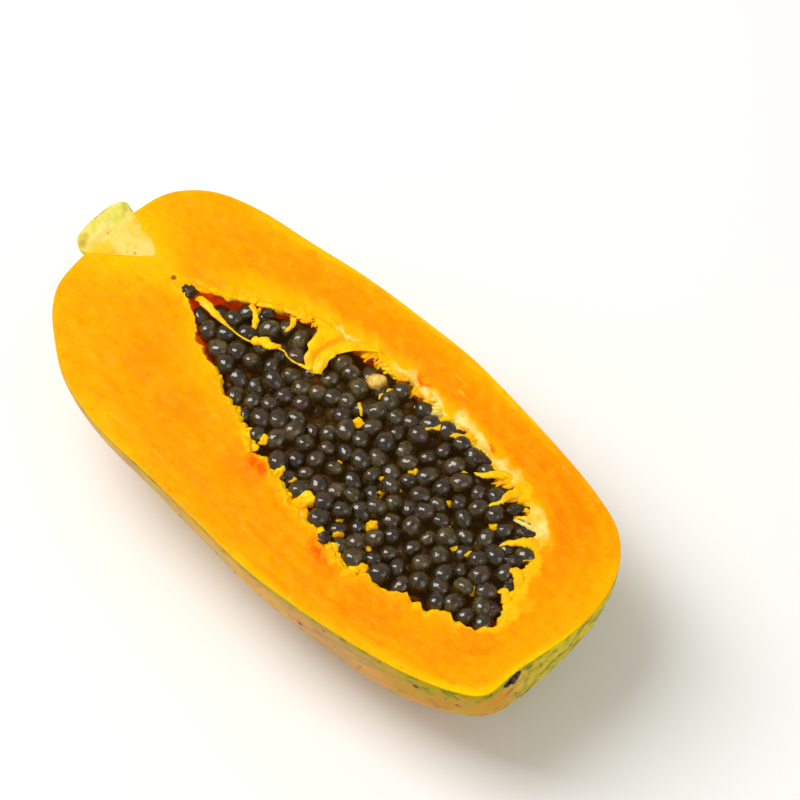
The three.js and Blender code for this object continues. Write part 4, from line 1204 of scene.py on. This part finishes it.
def stalk_finish():
    """Cut stalk: pale yellow and faintly fibrous in the wedge, melting into the flesh at its upper
    edge, cream and pale green at the stump, with a few brown-green dots and a brown crease."""
    paint = Finish("cut_stalk")
    x, y, z = paint.axis("X"), paint.axis("Y"), paint.axis("Z")
    left = PLACE[0] * MM
    fibres = paint.noise(0.0012, 5, 0.65, stretch=(0.55, 1, 1))
    cloud = paint.noise(0.0055, 3)
    wedge = paint.mix((1.0, 0.63, 0.10), (1.0, 0.57, 0.06), paint.step(fibres, 0.34, 0.68))
    wedge = paint.mix(wedge, (1.0, 0.68, 0.20), paint.step(cloud, 0.42, 0.60, 0.0, 0.6))
    outer = paint.math("ADD", x, paint.step(cloud, 0.3, 0.7, 0.002, -0.002))
    stump = paint.mix((0.86, 0.70, 0.19), (0.72, 0.65, 0.08), paint.step(cloud, 0.40, 0.62))
    colour = paint.mix(wedge, stump, paint.step(outer, left - 0.089, left - 0.0955))
    inner = paint.math("ADD", paint.number("core"), paint.step(cloud, 0.3, 0.7, -0.10, 0.10))
    upper_edge = paint.times(paint.step(inner, 0.35, 0.02), paint.step(y, 0.0065, 0.0105))
    near_edge = paint.times(paint.step(inner, 0.20, 0.02, 0.0, 0.6), paint.step(y, 0.004, 0.001))
    edge = paint.math("MAXIMUM", upper_edge, near_edge)
    colour = paint.mix(colour, (1.0, 0.50, 0.002), edge, paint.step(x, left - 0.096, left - 0.090))
    below = paint.step(z, PLACE[2] * MM - 0.0005, PLACE[2] * MM - 0.004)
    colour = paint.mix(colour, (0.66, 0.62, 0.10), below, 0.6)
    for mark_x, mark_y, reach, strength, tint in STALK_MARKS:
        colour = paint.mix(colour, tint, paint.spot(mark_x, mark_y, reach), strength)
    paint.set(Base_Color=colour, Roughness=0.5, Subsurface_Weight=0.3, Subsurface_Scale=0.002,
              Subsurface_Radius=(1.0, 0.7, 0.3), Specular_IOR_Level=0.2)
    paint.bump(paint.math("ADD", fibres, cloud), 0.3, 0.0004)
    return paint.material


stalk_points, stalk_core = stalk_grid()
stalk = mesh_piece("stalk_stub", *joined([stalk_points]), [stalk_finish()], {"core": stalk_core})
# Its tip is so sharp that the usual distance would join points that only pass close by.
weld(stalk, 1e-7)
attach(stalk, "root")
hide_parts("stalk_stub")

# ---------------------------------------------------------------- blossom scar
# A corky scar where the flower was, grown into the skin at the rim of the blossom end: dark brown
# lobes round a paler dry middle.
# Each lobe: its middle and its half sizes.
SCAR_LOBES = [((92.2, -17.2, -1.9), (0.8, 1.5, 1.2)), ((92.3, -18.9, -2.9), (1.0, 1.5, 1.5)),
              ((91.6, -21.0, -3.4), (1.1, 1.3, 1.1)), ((91.0, -22.0, -4.2), (1.0, 0.9, 1.0))]


def scar_finish():
    """Dry cork: grey-cream with brown grain."""
    paint = Finish("dry_cork")
    grain = paint.noise(0.0009, 4, 0.7)
    paint.set(Base_Color=paint.ramp(grain, [(0.38, (0.16, 0.07, 0.02)), (0.60, (0.62, 0.50, 0.34))]),
              Roughness=0.7)
    paint.bump(grain, 0.6, 0.0005)
    return paint.material


dark_lobes = joined([round_blob(place, radii, 0.4, 990 + 3 * i, 0.07)
                     for i, (place, radii) in enumerate(SCAR_LOBES)])
scar = mesh_piece("blossom_scar", *dark_lobes, [dried.data.materials[0]])
dry_middle = joined([round_blob((92.7, -19.2, -2.7), (0.9, 0.8, 0.8), 0.4, 996, 0.14)])
scar_core = mesh_piece("scar_middle", *dry_middle, [scar_finish()])
for piece in (scar, scar_core):
    weld(piece)
    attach(piece, "root")
    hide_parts("fruit_half")

# ---------------------------------------------------------------- floor and light
# A wide level floor of white paper in a white room, with a window's soft light from the far left
# and a weaker panel from the right.
floor_mesh = bpy.data.meshes.new("floor")
floor_mesh.from_pydata([(-3, -3, 0), (3, -3, 0), (3, 3, 0), (-3, 3, 0)], [], [(0, 1, 2, 3)])
floor = bpy.data.objects.new("floor", floor_mesh)
bpy.context.scene.collection.objects.link(floor)
paper = Finish("white_floor")
paper.set(Base_Color=(0.93, 0.93, 0.925), Roughness=0.9)
floor_mesh.materials.append(paper.material)

world = bpy.data.worlds.new("white_room")
bpy.context.scene.world = world
world.use_nodes = True
world.node_tree.nodes["Background"].inputs["Color"].default_value = (1, 0.965, 0.90, 1)
world.node_tree.nodes["Background"].inputs["Strength"].default_value = 0.46


def softbox(name, direction, distance, size, power):
    """A soft light panel that faces the fruit from a direction given as right, up and towards the
    camera."""
    light = bpy.data.lights.new(name, "AREA")
    light.shape = "RECTANGLE"
    light.size, light.size_y = size
    light.energy = power
    lamp = bpy.data.objects.new(name, light)
    bpy.context.scene.collection.objects.link(lamp)
    ray = (direction[0] * right + direction[1] * up + direction[2] * back).normalized()
    target = Vector(PLACE * MM)
    facing = ray.to_track_quat("Z", "Y").to_matrix().to_4x4()
    lamp.matrix_world = Matrix.Translation(target + distance * ray) @ facing


softbox("window_light", (-0.52, 0.64, 0.75), 1.2, (0.54, 0.93), 12.3)
softbox("fill_light", (0.8, -0.2, 0.9), 1.5, (0.9, 0.9), 3.2)

bpy.context.scene.view_settings.view_transform = "Standard"
